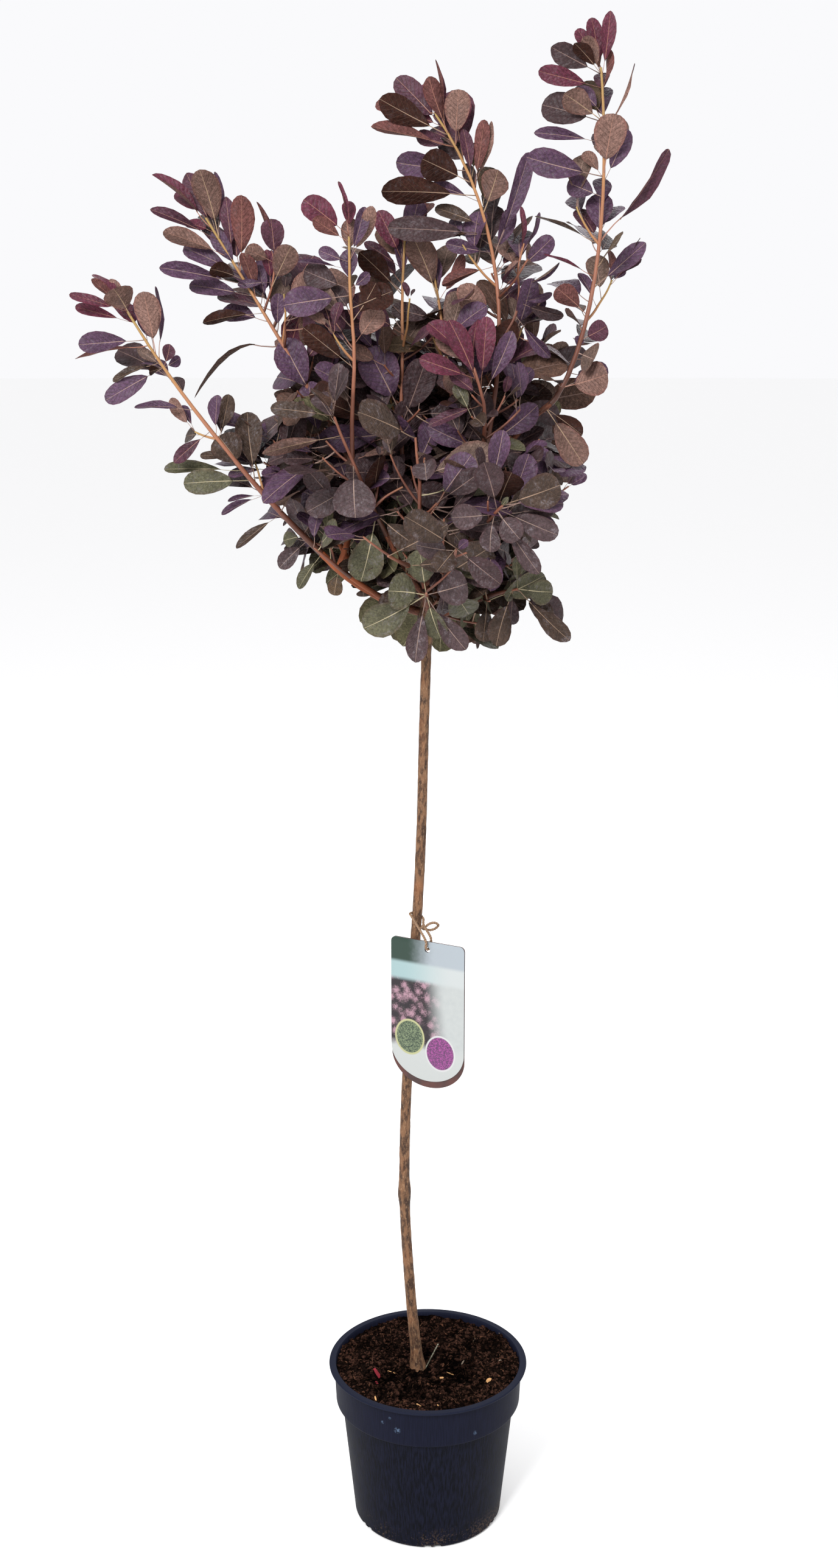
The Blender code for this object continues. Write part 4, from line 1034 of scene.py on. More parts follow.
class Boxes:
    """Keeps items in small boxes, so that those near a spot are found quickly."""

    def __init__(self, size):
        self.size = size
        self.boxes = {}

    def box(self, spot):
        return tuple(math.floor(value / self.size) for value in spot)

    def add(self, spot, item):
        self.boxes.setdefault(self.box(spot), []).append(item)

    def near(self, spot):
        """The items in the box of a spot and in the boxes that touch it."""
        middle = self.box(spot)
        for shift in product((-1, 0, 1), repeat=len(middle)):
            yield from self.boxes.get(tuple(a + b for a, b in zip(middle, shift)), ())


CROWD = Boxes(FINE_SPACING)
VIEW = Boxes(VIEW_BOX)


def settle(leaf):
    """Takes the room of a leaf."""
    for point in leaf_samples(leaf)[1:]:
        CROWD.add(point, point)


def crowded(point):
    return any((point - other).length < FINE_SPACING for other in CROWD.near(point))


def keep_in_view(points, reach):
    """Keeps the picture in front of some points free."""
    for point in points:
        spot = in_picture(point)
        VIEW.add(spot, (spot, point.y, reach))


def in_the_way(point):
    """Whether a point would hide what is kept in view."""
    spot = in_picture(point)
    return any(point.y < y - FINE_SPACING and math.dist(spot, other) < reach
               for other, y, reach in VIEW.near(spot))


def in_open_sky(point):
    """Whether a point shows where the picture has open sky."""
    spot = in_picture(point)
    return any(math.dist(spot, (u, v)) < radius for u, v, radius in OPEN_SKY)


def stays(leaf):
    """Whether a leaf of the solid plant is clear of the leaves that show and of the open sky."""
    spots = leaf_samples(leaf)[1:]
    if any(crowded(spot) for spot in spots[2:]) or sum(in_the_way(spot) for spot in spots) > 4:
        return False
    return sum(in_open_sky(spot) for spot in spots) < 2


for placed in (placed for shown_leaves in SHOWN.values() for placed in shown_leaves):
    settle(placed.leaf)
    keep_in_view(leaf_samples(placed.leaf)[1:], SHOWN_LEAF_REACH)
for route, low, high in SHOWN_STEMS:
    spots = dense(route)
    keep_in_view(spots[round(low * len(spots)):round(high * len(spots))], SHOWN_STEM_REACH)
KEPT = {mass.name: [leaf for leaf in GROWN[mass.name][1] if stays(leaf)] for mass in MASSES}
for leaf in (leaf for kept_leaves in KEPT.values() for leaf in kept_leaves):
    settle(leaf)
print(sum(len(leaves) for leaves in KEPT.values()), "leaves of the solid plant stay")


# %% Tufts, leaves between and spurs
FINE_TRIES = ((0, 1.0), (35, 1.0), (-35, 0.92), (80, 0.92), (-80, 0.84), (120, 0.8), (180, 0.8),
              (-130, 0.7), (20, 0.62))
TUFT_BLADES = (0.042, 0.036, 0.028, 0.020, 0.014)
TUFT_SPREAD = (36, 10)
TUFT_LENGTH = 0.006
TWIG_TUFT_SIZE = 0.75
BETWEEN_STEP = 0.014
BETWEEN_BLADE_SHARE = (0.62, 1.0)
SPUR_STEP = 0.020
SPUR_LENGTH = (0.012, 0.050)
SPUR_BLADES = (0.048, 0.064)
SPUR_SPREAD = 62
BARE_BOUGHS = ("left", "low_left", "left_upright", "right")


def fits_fine(leaf):
    """Whether a finer leaf is clear of the limbs and leaves, and inside the crown."""
    spots = leaf_samples(leaf)[1:]
    low, high = CAD_BOX
    inside = all(low[i] < spot[i] < high[i] for spot in spots for i in range(3))
    if not inside or any(spot.z < CROWN_BOTTOM or in_open_sky(spot) for spot in spots):
        return False
    if sum(in_the_way(spot) for spot in spots) > 2:
        return False
    if not all(SPACE.clear_of_limbs(spot) and not crowded(spot) for spot in spots[1:]):
        return False
    settle(leaf)
    return True


def try_leaf(rng, *aim):
    """A finer leaf with that root, way, turn, stand, length and droop, if it finds room."""
    return first_fit(FINE_TRIES, fits_fine, rng, *aim)


def tuft(route, size, rng):
    """Small young leaves round the tip of a twig."""
    leaves = []
    turn = rng.uniform(0, 360)
    for k, blade in enumerate(TUFT_BLADES):
        share = k / (len(TUFT_BLADES) - 1)
        root, way = along(route, 1 - TUFT_LENGTH * (1 - share) / route_length(route))
        stand = blend(TUFT_SPREAD, share) + rng.uniform(-6, 8)
        length = blade * size * rng.uniform(0.85, 1.2)
        leaves.append(try_leaf(rng, root, way, turn + k * GOLDEN_ANGLE, stand, length, 0))
    return [leaf for leaf in leaves if leaf]


def leaves_between(route, low, high, blade, spread, rng):
    """Smaller leaves in the gaps between the large ones."""
    leaves = []
    count = max(1, round(route_length(route) * (high - low) / BETWEEN_STEP))
    turn = rng.uniform(0, 360)
    for k in range(count):
        share = low + (high - low) * (k + rng.uniform(0.2, 0.8)) / count
        root, way = along(route, share)
        stand = blend(spread, share) + rng.uniform(-10, 10)
        size = blade * (1 - TIP_SHORTENING * share**2) * rng.uniform(*BETWEEN_BLADE_SHARE)
        leaves.append(try_leaf(rng, root, way, turn + k * GOLDEN_ANGLE, stand, size,
                               LEAF_DROOP * (1 - share)))
    return [leaf for leaf in leaves if leaf]


def spur(root, way, turn, rng):
    """A stubby twig with a rosette of leaves."""
    foot = leaning(way, turn, SPUR_SPREAD)
    tip = (foot + way * 0.3 + Vector((0, 0, 0.25))).normalized()
    route = bend(root, foot, tip, rng.uniform(*SPUR_LENGTH))
    if not all(SPACE.clear_of_limbs(point) for point in route[2:]):
        return route, []
    leaves = []
    first = rng.uniform(0, 360)
    count = rng.randint(4, 6)
    for k in range(count):
        place, heading = along(route, 0.55 + 0.45 * (k + 1) / count)
        blade = rng.uniform(*SPUR_BLADES) * (1 - 0.3 * k / count)
        leaves.append(try_leaf(rng, place, heading, first + k * GOLDEN_ANGLE,
                               84 - 50 * (k / count), blade, 0.1))
    return route, [leaf for leaf in leaves if leaf]


def spurs_along(route, low, high, rng):
    """Spurs at even steps along a limb, where they find room."""
    made = []
    count = max(1, round(route_length(route) * (high - low) / SPUR_STEP))
    for k in range(count):
        root, way = along(route, low + (high - low) * (k + rng.uniform(0.25, 0.75)) / count)
        made.append(spur(root, way, k * GOLDEN_ANGLE + rng.uniform(0, 90), rng))
    return [(twig, leaves) for twig, leaves in made if len(leaves) >= 2]


def refine(mass, seed):
    """The finer twigs of a mass, and all its leaves with their kinds."""
    rng = random.Random(1000 + seed)
    stem = STEMS[mass.name]
    placed = [*SHOWN[mass.name]]

    def place(leaves, kind):
        placed.extend(Placed(leaf, kind, mass.name) for leaf in leaves)

    place(KEPT[mass.name], "main")
    spurs = []
    if mass.name not in BARE_BOUGHS:
        spurs = spurs_along(LIMBS[mass.name][0], 0.20, 1.0, rng)
        spurs += spurs_along(stem, 0.0, 0.6, rng)
    for twig, rosette in spurs:
        place(rosette, "spur")
    for route in (stem, *GROWN[mass.name][0]):
        size, low = (1.0, mass.bare) if route is stem else (TWIG_TUFT_SIZE, SIDE_TWIG_BARE)
        place(tuft(route, size, rng), "tuft")
        place(leaves_between(route, low, 0.96, mass.blade, mass.spread, rng), "between")
    return [twig for twig, rosette in spurs], placed


FINE = {mass.name: refine(mass, seed) for seed, mass in enumerate(MASSES)}
LEAVES = [leaf for spur_twigs, placed in FINE.values() for leaf in placed]
print(sum(len(spur_twigs) for spur_twigs, placed in FINE.values()), "spurs and",
      {kind: sum(leaf.kind == kind for leaf in LEAVES)
       for kind in ("shown", "sickle", "main", "between", "tuft", "spur")})

# %% [markdown]
# ## Geometry trees
#
# What repeats or follows a path is made by Geometry Nodes. `run` puts a tree on a guide mesh, sets
# its inputs by their identifiers before the first evaluation, and turns the result into the plain
# mesh that the export needs.


# %% A class for geometry trees
class Recipe(Tree):
    """A geometry tree with named inputs."""

    def __init__(self, name, **inputs):
        super().__init__(bpy.data.node_groups.new(name, "GeometryNodeTree"))
        new_socket = self.tree.interface.new_socket
        new_socket("Guide", in_out="INPUT", socket_type="NodeSocketGeometry")
        new_socket("Result", in_out="OUTPUT", socket_type="NodeSocketGeometry")
        for label, kind in inputs.items():
            new_socket(label, in_out="INPUT", socket_type="NodeSocket" + kind)
        self.entry = self.tree.nodes.new("NodeGroupInput")

    def given(self, label):
        return Wire(self, self.entry.outputs[label])

    def named(self, attribute, kind="FLOAT"):
        """An attribute of the geometry by its name."""
        return self.node("GeometryNodeInputNamedAttribute", {"Name": attribute}, data_type=kind)

    def store(self, geometry, attribute, value, kind="FLOAT"):
        inputs = {"Geometry": geometry, "Name": attribute, "Value": value}
        return self.node("GeometryNodeStoreNamedAttribute", inputs, data_type=kind)

    def copies(self, points, rotation, scale, **inputs):
        """Shapes of the given collection on points, as real geometry."""
        shapes = self.node("GeometryNodeCollectionInfo", {
            "Collection": self.given("Shapes"), "Separate Children": True, "Reset Children": True,
        })
        copies = self.node("GeometryNodeInstanceOnPoints", {
            "Points": points, "Instance": shapes, "Pick Instance": True, "Rotation": rotation,
            "Scale": scale, **inputs,
        })
        return self.node("GeometryNodeRealizeInstances", {"Geometry": copies})

    def paint(self, geometry, material, **inputs):
        inputs |= {"Geometry": geometry, "Material": self.given(material)}
        return self.node("GeometryNodeSetMaterial", inputs)

    def end(self, geometry):
        self.node("NodeGroupOutput", {"Result": geometry})


def run(recipe, name, guide_mesh, **values):
    """A new object with the result of a geometry tree on a guide mesh."""
    guide = show(name + "_guide", guide_mesh)
    modifier = guide.modifiers.new("Recipe", "NODES")
    modifier.node_group = recipe.tree
    for item in recipe.tree.interface.items_tree:
        if item.in_out == "INPUT" and item.name in values:
            modifier[item.identifier] = values[item.name]
    mesh = evaluated(guide)
    bpy.data.objects.remove(guide)
    for slot in range(len(mesh.materials) - 1, -1, -1):
        if mesh.materials[slot] is None:
            mesh.materials.pop(index=slot)
    mesh.name = name
    return show(name, mesh)


def shape_group(name, meshes):
    """A collection of shapes that aren't in the scene themselves."""
    group = bpy.data.collections.new(name)
    for mesh in meshes:
        group.objects.link(bpy.data.objects.new(mesh.name, mesh))
    return group


def clear_group(group):
    for thing in list(group.objects):
        bpy.data.objects.remove(thing)
    bpy.data.collections.remove(group)


def finish_piece(piece, slot, *nodes, material=None):
    """Gives a piece its finish if one is given, hangs it on the root body and hides the solids it
    stands for.
    """
    if material:
        piece.data.materials.clear()
        piece.data.materials.append(material)
    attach(piece, "root")
    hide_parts(*nodes)
    print(piece.name, sum(len(face.vertices) - 2 for face in piece.data.polygons), "triangles")


print("recipes ready")

# %% [markdown]
# ## Leaf shapes
#
# A smoke bush leaf has a slender stalk, a blade widest past its middle and a blunt, rounded tip.
# Each shape is one closed shell: an upper side and an underside that meet at a sharp margin, the
# midrib as a narrow strip of its own, and a three-sided stalk. The shapes differ in how far they
# fold, twist, arch and wave. All have a blade 1 m long and are scaled down later. A whole number on
# each face says which part of the leaf it is.

# %% Build the leaf shapes
BLADE_ROWS = (0.0, 0.09, 0.24, 0.42, 0.60, 0.77, 0.90, 0.975, 1.0)
RIB_HALF_WIDTH = 0.009
RIB_RISE = 0.006
SKIN_RISE = 0.0032
STALK_HALF_WIDTH = 0.011
STALK_ROWS = (0.0, 0.35, 0.72, 1.0)
STALK_CORNERS = (90, 210, 330)
SHARP_ANGLE = 100
UPPER, UNDER, RIB = range(3)
Shape = namedtuple("Shape", "rise fall width fold twist arch wave bend")
LEAF_SHAPES = [Shape(*row) for row in (
    (0.62, 0.50, 0.62, 10, 5, 0.10, 0.014, 0.02), (0.70, 0.52, 0.66, 16, -8, 0.13, 0.020, -0.04),
    (0.80, 0.60, 0.58, 24, 12, 0.08, 0.010, 0.05), (0.87, 0.70, 0.54, 12, -14, 0.16, 0.016, -0.02),
    (0.60, 0.46, 0.68, 5, 8, 0.06, 0.024, 0.03), (0.74, 0.56, 0.60, 34, -5, 0.19, 0.012, -0.06),
    (0.66, 0.50, 0.64, 20, 18, 0.22, 0.020, 0.02), (0.90, 0.64, 0.50, 42, 6, 0.12, 0.008, 0.07),
)]
SICKLE_SHAPE = Shape(0.80, 0.60, 0.62, 14, 4, 0.70, 0.008, 0.0)


def half_width(shape, share):
    """Half the width of a blade, as a share of its length, from its foot to its tip."""
    widest = math.sqrt(shape.rise / (shape.rise + 2 * shape.fall))

    def curve(t):
        return t**shape.rise * max(1 - t * t, 0) ** shape.fall

    return max(shape.width / 2 * curve(share) / curve(widest), RIB_HALF_WIDTH * 0.5)


def blade_place(shape, share, side, lift):
    """A point of the blade: side runs from -1 to 1, and lift is its height over the skin."""
    across = side * half_width(shape, share)
    fold = math.radians(shape.fold) * (1 - 0.5 * share)
    ripple = shape.wave * math.sin(9.5 * share + 2.6 * side) * abs(side) ** 2
    up = abs(across) * math.sin(fold) + ripple + lift
    across *= math.cos(fold)
    turn = math.radians(shape.twist) * share
    across, up = (across * math.cos(turn) - up * math.sin(turn),
                  across * math.sin(turn) + up * math.cos(turn))
    sag = shape.arch * share**1.8
    reach = STALK_SHARE + share * (1 - 0.35 * shape.arch)
    return Vector((reach, across + shape.bend * share**2, up - sag))


def blade_row(work, shape, share):
    """Corners of the upper side and the underside across a blade, and where they lie."""
    rib = min(RIB_HALF_WIDTH * (1.15 - 0.85 * share) / half_width(shape, share), 0.45)
    columns = [-1.0, -0.52, -rib, rib, 0.52, 1.0]
    thinning = 0.35 if share in (0.0, 1.0) else 1.0
    top, low = [], []
    for side in columns:
        if abs(side) == 1:
            lifts = (0,)
        elif abs(side) < 0.5:
            lifts = (RIB_RISE * thinning * 0.45, -RIB_RISE * thinning * 1.3)
        else:
            lifts = (SKIN_RISE * thinning, -SKIN_RISE * thinning * 1.3)
        corners = [work.verts.new(blade_place(shape, share, side, lift)) for lift in lifts]
        top.append(corners[0])
        low.append(corners[-1])
    return top, low, [(side / 2 + 0.5, share) for side in columns]


def stalk_ring(work, share):
    """Three corners round the stalk."""
    half = STALK_HALF_WIDTH * (1.25 - 0.45 * share)
    droop = 0.02 * math.sin(math.pi * share)
    middle = Vector((share * (STALK_SHARE + 0.03), 0, -droop - 0.004))
    turns = [math.radians(corner) for corner in STALK_CORNERS]
    return [work.verts.new(middle + Vector((0, half * math.cos(a), half * math.sin(a))))
            for a in turns]


def build_leaf_shape(number, shape, flipped):
    """One closed leaf with its stalk, upside down if it is flipped."""
    work = bmesh.new()
    part = work.faces.layers.int.new("leaf_part")
    uv = work.loops.layers.uv.new("leaf_map")

    def mark(face, kind, spots):
        face[part] = kind
        face.smooth = True
        for loop, spot in zip(face.loops, spots):
            loop[uv].uv = spot

    rows = [blade_row(work, shape, share) for share in BLADE_ROWS]
    upper, under = (UNDER, UPPER) if flipped else (UPPER, UNDER)
    for (top_a, low_a, spots_a), (top_b, low_b, spots_b) in zip(rows, rows[1:]):
        for k in range(5):
            n = k + 1
            face = work.faces.new((top_a[k], top_b[k], top_b[n], top_a[n]))
            mark(face, RIB if k == 2 else upper, (spots_a[k], spots_b[k], spots_b[n], spots_a[n]))
            face = work.faces.new((low_a[k], low_a[n], low_b[n], low_b[k]))
            mark(face, RIB if k == 2 else under, (spots_a[k], spots_a[n], spots_b[n], spots_b[k]))
    for (top, low, spots), turn in ((rows[0], 1), (rows[-1], -1)):
        loop = [*top, *reversed(low[1:-1])]
        mark(work.faces.new(loop[::turn]), RIB, [(0.5, spots[0][1])] * len(loop))
    for face in add_skin(work, [stalk_ring(work, share) for share in STALK_ROWS]):
        mark(face, RIB, [(0.5, 0)] * len(face.verts))
    for edge in work.edges:
        edge.smooth = edge.calc_face_angle(0) < math.radians(SHARP_ANGLE)
    return as_mesh(work, f"leaf_shape_{number:02d}")


LEAF_GROUP = shape_group("leaf shapes", [
    build_leaf_shape(number, shape, len(LEAF_SHAPES) <= number < 2 * len(LEAF_SHAPES))
    for number, shape in enumerate((*LEAF_SHAPES, *LEAF_SHAPES, SICKLE_SHAPE))
])

# %% [markdown]
# ## Leaf finishes
#
# The crown is not one purple. Tips are wine red, the outer leaves plum with a blue waxy film that is
# partly painted sheen, the heart a darker purple that is partly painted shade, and the lowest leaves
# grey-green, and many undersides are tan. So there are eight tones, each with an upper side, an
# underside and a rib. Side veins come from the leaf's own UV map: they leave the midrib at even steps
# and lean towards the tip.

# %% Tones of the leaves
Tone = namedtuple("Tone", "name upper under rib bloom")
TONES = [Tone(*row) for row in (
    ("young", (79, 34, 49), (91, 57, 54), (140, 96, 80), 0.12),
    ("plum", (67, 38, 50), (110, 84, 76), (138, 100, 86), 0.14),
    ("purple", (69, 48, 67), (96, 78, 70), (142, 116, 106), 0.24),
    # The darkest tone: partly leaves that are darker, partly painted shade for the heart of the crown.
    ("dusk", (52, 37, 39), (82, 61, 52), (114, 91, 84), 0.20),
    ("umber", (57, 44, 37), (45, 23, 17), (134, 110, 92), 0.34),
    ("moss", (71, 69, 52), (80, 76, 55), (158, 146, 118), 0.30),
    ("tan", (72, 56, 40), (95, 72, 65), (144, 120, 96), 0.12),
    ("mauve", (65, 51, 53), (92, 76, 68), (138, 116, 106), 0.40),
)]
# Pale blue-grey of the leaves' waxy film, which also serves as painted sheen on the leaves.
WAX_AND_SHEEN_COLOUR = (152, 142, 148)
VEIN_PAIRS = 9
VEIN_LEAN = 2.4
VEIN_DEPTH = 0.0008


def leaf_side(name, colour, rib, bloom, vein_strength, roughness, gloss):
    """One side of a leaf: mottled, veined, puckered with painted crease shade, paler towards its tip.
    """
    paint = Paint(name)
    spot = paint.attribute("leaf_map", "Vector")
    up = paint.part(spot, "Y")
    side = abs(paint.part(spot, "X") - 0.5) * 2
    run_up = up * VEIN_PAIRS - side * VEIN_LEAN + paint.noise(90, 2) * 0.5
    vein = (1 - paint.step(abs(run_up.maths("FRACT", run_up) - 0.5), 0.02, 0.11)) * (1 - side * 0.7)
    mottle = paint.noise(46, 4, 0.6)
    fine = paint.noise(700, 3, 0.65)
    pucker = paint.cells(300.0, 0.6)
    wax_and_sheen_spots = paint.step(paint.noise(120, 3, 0.7), 0.50, 0.70) * paint.step(fine, 0.40, 0.58)
    margin = (colour[0] * 1.15, colour[1] * 0.78, colour[2] * 0.78)
    ground = paint.over(
        linear(colour, 0.66),
        (paint.step(mottle, 0.30, 0.70), linear(colour, 1.36)),
        (paint.step(up, 0.2, 0.95) * 0.30, linear(colour, 1.45)),
        (paint.step(side, 0.72, 1.0) * 0.40, linear(margin, 0.80)),
        (paint.step(fine, 0.50, 0.62) * 0.6, linear(colour, 0.45)),
        ((1 - paint.step(fine, 0.36, 0.46)) * 0.55, linear(colour, 1.75)),
        # Painted shade: the creases between the puckers are darkened.
        (paint.step(pucker, 0.30, 0.75) * 0.40, linear(colour, 0.50)),
        # Spots of waxy film, partly painted sheen where the puckered surface would catch the sky.
        (wax_and_sheen_spots * bloom, linear(WAX_AND_SHEEN_COLOUR, 0.8)),
        (vein * vein_strength, rib),
    )
    height = fine * 0.35 - vein * 0.8 - pucker * 1.2 + paint.noise(150, 3) * 0.8
    return paint.surface(ground, paint.step(mottle, 0.2, 0.8) * 0.16 + roughness, specular=gloss,
                         normal=paint.bump(height, VEIN_DEPTH))


def leaf_rib(name, colour):
    """The midrib and stalk of a leaf, redder and smoother than the blade."""
    paint = Paint(name)
    streak = paint.noise(150, 3)
    tint = paint.mix(streak, linear(colour, 0.72), linear(colour, 1.12))
    return paint.surface(tint, 0.55, specular=0.22, normal=paint.bump(streak, 0.0002, 0.6))


LEAF_PAINTS = {tone.name: (
    leaf_side(f"{tone.name} leaf top", tone.upper, tone.rib, tone.bloom, 0.22, 0.40, 0.16),
    leaf_side(f"{tone.name} leaf underside", tone.under, tone.rib, 0.10, 0.15, 0.60, 0.10),
    leaf_rib(f"{tone.name} leaf rib", tone.rib),
) for tone in TONES}
print(3 * len(LEAF_PAINTS), "leaf finishes")

# %% [markdown]
# ## Sprays of leaves
#
# Every leaf becomes one point that knows its turn, size and shape. A geometry tree sets a leaf
# shape on each point, makes the copies real and paints their parts. The leaves of one tone are one
# piece, so that eight pieces hold the whole crown.

# %% Deal the leaves out to the tones
LOW_HEIGHT = 1.04
HEART_HEIGHT = 1.18
YOUNG_REACH = 0.022
# The heart's leaves mostly get the darkest tone, partly their own colour and partly painted shade for
# the shaded middle of the crown.
TONE_SHARES = {
    "tip": (("young", 0.84), ("plum", 0.12), ("tan", 0.04)),
    "low": (("moss", 0.36), ("umber", 0.38), ("dusk", 0.14), ("mauve", 0.12)),
    "heart": (("dusk", 0.42), ("purple", 0.28), ("mauve", 0.08), ("umber", 0.15), ("plum", 0.03),
              ("moss", 0.04)),
    "high": (("purple", 0.46), ("plum", 0.30), ("dusk", 0.16), ("tan", 0.05), ("young", 0.03)),
}
FLIP_SHARES = {"tip": 0.25, "low": 0.04, "heart": 0.08, "high": 0.26}
YOUNG_MASSES = ("left", "upper_left", "centre_left", "centre", "right", "front_right",
                "left_upright")


def zone_of(placed):
    """Which part of the crown a leaf belongs to."""
    tip = STEMS[placed.mass][-1]
    if placed.mass in YOUNG_MASSES and (placed.leaf.root - tip).length < YOUNG_REACH:
        return "tip"
    height = placed.leaf.root.z
    return "low" if height < LOW_HEIGHT else "heart" if height < HEART_HEIGHT else "high"


def deal(placed, rng):
    """The tone of a leaf, and whether its underside is up."""
    if placed.tone:
        return placed.tone, False
    zone = zone_of(placed)
    draw = rng.random()
    for tone_name, share in TONE_SHARES[zone]:
        draw -= share
        if draw <= 0:
            break
    return tone_name, rng.random() < FLIP_SHARES[zone]


rng = random.Random(77)
DEALT = [(placed, *deal(placed, rng)) for placed in LEAVES]
print({tone.name: sum(name == tone.name for placed, name, flipped in DEALT) for tone in TONES})


# %% The tree that sets leaves on points
MAIN_GAIN = 1.14
TUFT_SLIMNESS = 0.82


def spray_recipe():
    recipe = Recipe("spray of leaves", Shapes="Collection", Upper="Material", Under="Material",
                    Rib="Material")
    real = recipe.copies(
        recipe.given("Guide"), recipe.named("turn", "QUATERNION"),
        recipe.named("size", "FLOAT_VECTOR"), **{"Instance Index": recipe.named("shape", "INT")},
    )
    for number, label in enumerate(("Upper", "Under", "Rib")):
        chosen = recipe.node("FunctionNodeCompare", {2: recipe.named("leaf_part", "INT"), 3: number},
                             data_type="INT", operation="EQUAL")
        real = recipe.paint(real, label, Selection=chosen)
    recipe.end(real)
    return recipe


def leaf_points(dealt, seed):
    """A mesh of loose points with the turn, size and shape of each leaf."""
    draw = random.Random(seed)
    turns, sizes, shapes = [], [], []
    for placed, name, flipped in dealt:
        leaf = placed.leaf
        axes = Matrix((leaf.axis, leaf.up.cross(leaf.axis), leaf.up)).transposed()
        turns += [*axes.to_quaternion()]
        slim = TUFT_SLIMNESS if placed.kind == "tuft" else 1.0
        if placed.kind in ("shown", "sickle"):
            slim = leaf.width / (leaf.blade * BLADE_WIDTH_SHARE)
        blade = leaf.blade * (MAIN_GAIN if placed.kind == "main" else 1.0)
        sizes += [blade, blade * slim * draw.uniform(0.9, 1.12), blade]
        shape = draw.randrange(len(LEAF_SHAPES)) + len(LEAF_SHAPES) * flipped
        shapes.append(2 * len(LEAF_SHAPES) if placed.kind == "sickle" else shape)
    mesh = bpy.data.meshes.new("leaf points")
    mesh.from_pydata([placed.leaf.root for placed, name, flipped in dealt], [], [])
    mesh.attributes.new("turn", "QUATERNION", "POINT").data.foreach_set("value", turns)
    mesh.attributes.new("size", "FLOAT_VECTOR", "POINT").data.foreach_set("vector", sizes)
    mesh.attributes.new("shape", "INT", "POINT").data.foreach_set("value", shapes)
    return mesh


SPRAY = spray_recipe()
for tone_number, tone in enumerate(TONES):
    chosen = [entry for entry in DEALT if entry[1] == tone.name]
    upper, under, rib = LEAF_PAINTS[tone.name]
    piece = run(SPRAY, "leaves_" + tone.name, leaf_points(chosen, tone_number),
                Shapes=LEAF_GROUP, Upper=upper, Under=under, Rib=rib)
    finish_piece(piece, "leaves", *FOLIAGE_NODES)
clear_group(LEAF_GROUP)

# %% [markdown]
# ## Stems and twigs
#
# The stems are smooth rods, red-brown where they leave the boughs, salmon further up and straw
# yellow at their tips. A path of edges runs along each, with its thickness and age on every point.
# The tree turns the paths into curves, rounds them and sweeps a circle along.


# %% Paths with a thickness
def path_mesh(name, paths):
    """Edges along each path of (points, radii, ages), with its radius and age on each point."""
    points, edges, thick, ages = [], [], [], []
    for route, radii, years in paths:
        edges += [(len(points) + k, len(points) + k + 1) for k in range(len(route) - 1)]
        points += route
        thick += radii
        ages += years
    mesh = bpy.data.meshes.new(name)
    mesh.from_pydata(points, edges, [])
    for label, values in (("thick", thick), ("age", ages)):
        mesh.attributes.new(label, "FLOAT", "POINT").data.foreach_set("value", values)
    return mesh


def rod_recipe():
    """Sweeps a circle along paths and roughens the skin along its grain."""
    recipe = Recipe("rods with a grain", Step="Float", Sides="Int", Relief="Float", Grain="Vector",
                    Finish="Material")
    node, given, named, store = recipe.node, recipe.given, recipe.named, recipe.store
    curve = node("GeometryNodeMeshToCurve", {"Mesh": given("Guide")})
    curve = node("GeometryNodeCurveSplineType", {"Curve": curve}, spline_type="CATMULL_ROM")
    curve = node("GeometryNodeResampleCurve", {"Curve": curve, "Length": given("Step")},
                 mode="LENGTH")
    curve = store(curve, "run", node("GeometryNodeSplineParameter", output="Length"))
    ring = node("GeometryNodeCurvePrimitiveCircle", {"Resolution": given("Sides"), "Radius": 1.0})
    ring = store(ring, "ring", node("GeometryNodeInputPosition"), "FLOAT_VECTOR")
    rod = node("GeometryNodeCurveToMesh", {
        "Curve": curve, "Profile Curve": ring, "Scale": named("thick"), "Fill Caps": True,
    })
    length = node("ShaderNodeCombineXYZ", {"Z": named("run")})
    spot = node("ShaderNodeVectorMath", {0: named("ring", "FLOAT_VECTOR"), 1: length},
                operation="ADD")
    spot = node("ShaderNodeVectorMath", {0: spot, 1: given("Grain")}, operation="MULTIPLY")
    grain = node("ShaderNodeTexNoise", {"Vector": spot, "Scale": 1.0, "Detail": 3.0,
                                        "Roughness": 0.6})
    rod = store(rod, "grain_place", spot, "FLOAT_VECTOR")
    rod = store(rod, "grain", grain)
    lift = (named("grain") - 0.5) * given("Relief")
    offset = node("ShaderNodeVectorMath", {0: node("GeometryNodeInputNormal"), "Scale": lift},
                  operation="SCALE")
    rod = node("GeometryNodeSetPosition", {"Geometry": rod, "Offset": offset})
    rod = node("GeometryNodeSetShadeSmooth", {"Geometry": rod})
    rod = node("GeometryNodeRealizeInstances", {"Geometry": rod})
    recipe.end(recipe.paint(rod, "Finish"))
    return recipe


RODS = rod_recipe()
print("rods follow", RODS.tree.name)

# %% Paint the stems
STEM_STOPS = ((0.00, (142, 116, 66)), (0.24, (150, 106, 66)), (0.50, (138, 88, 66)),
              (0.78, (98, 54, 39)), (1.00, (64, 33, 21)))


def stem_paint():
    paint = Paint("young stem")
    age = paint.attribute("age") + (paint.noise(70, 3) - 0.5) * 0.24
    tint = paint.node("ShaderNodeValToRGB", {"Fac": age}, stops=STEM_STOPS)
    tint = paint.mix(paint.step(paint.attribute("grain"), 0.55, 0.75) * 0.35, tint, (110, 78, 60))
    return paint.surface(tint, 0.52, specular=0.4,
                         normal=paint.bump(paint.noise(1400, 2), 0.0001, 0.5))


print("stems run through", len(STEM_STOPS), "colours from tip to foot")

# %% Make the stems and twigs
STEM_TIP_RADIUS = 0.0011
SIDE_TWIG_RADII = (0.0013, 0.0008)
SPUR_RADII = (0.0013, 0.0009)
LONG_SHOOT = 0.16


def until_last_leaf(route, roots):
    """The part of a stem or twig up to its last leaf."""
    spots = dense(route)
    held = [k for k, spot in enumerate(spots)
            if any((spot - root).length < SAMPLE_STEP * 0.6 for root in roots)]
    return spots[:held[-1] + 1] if held else []


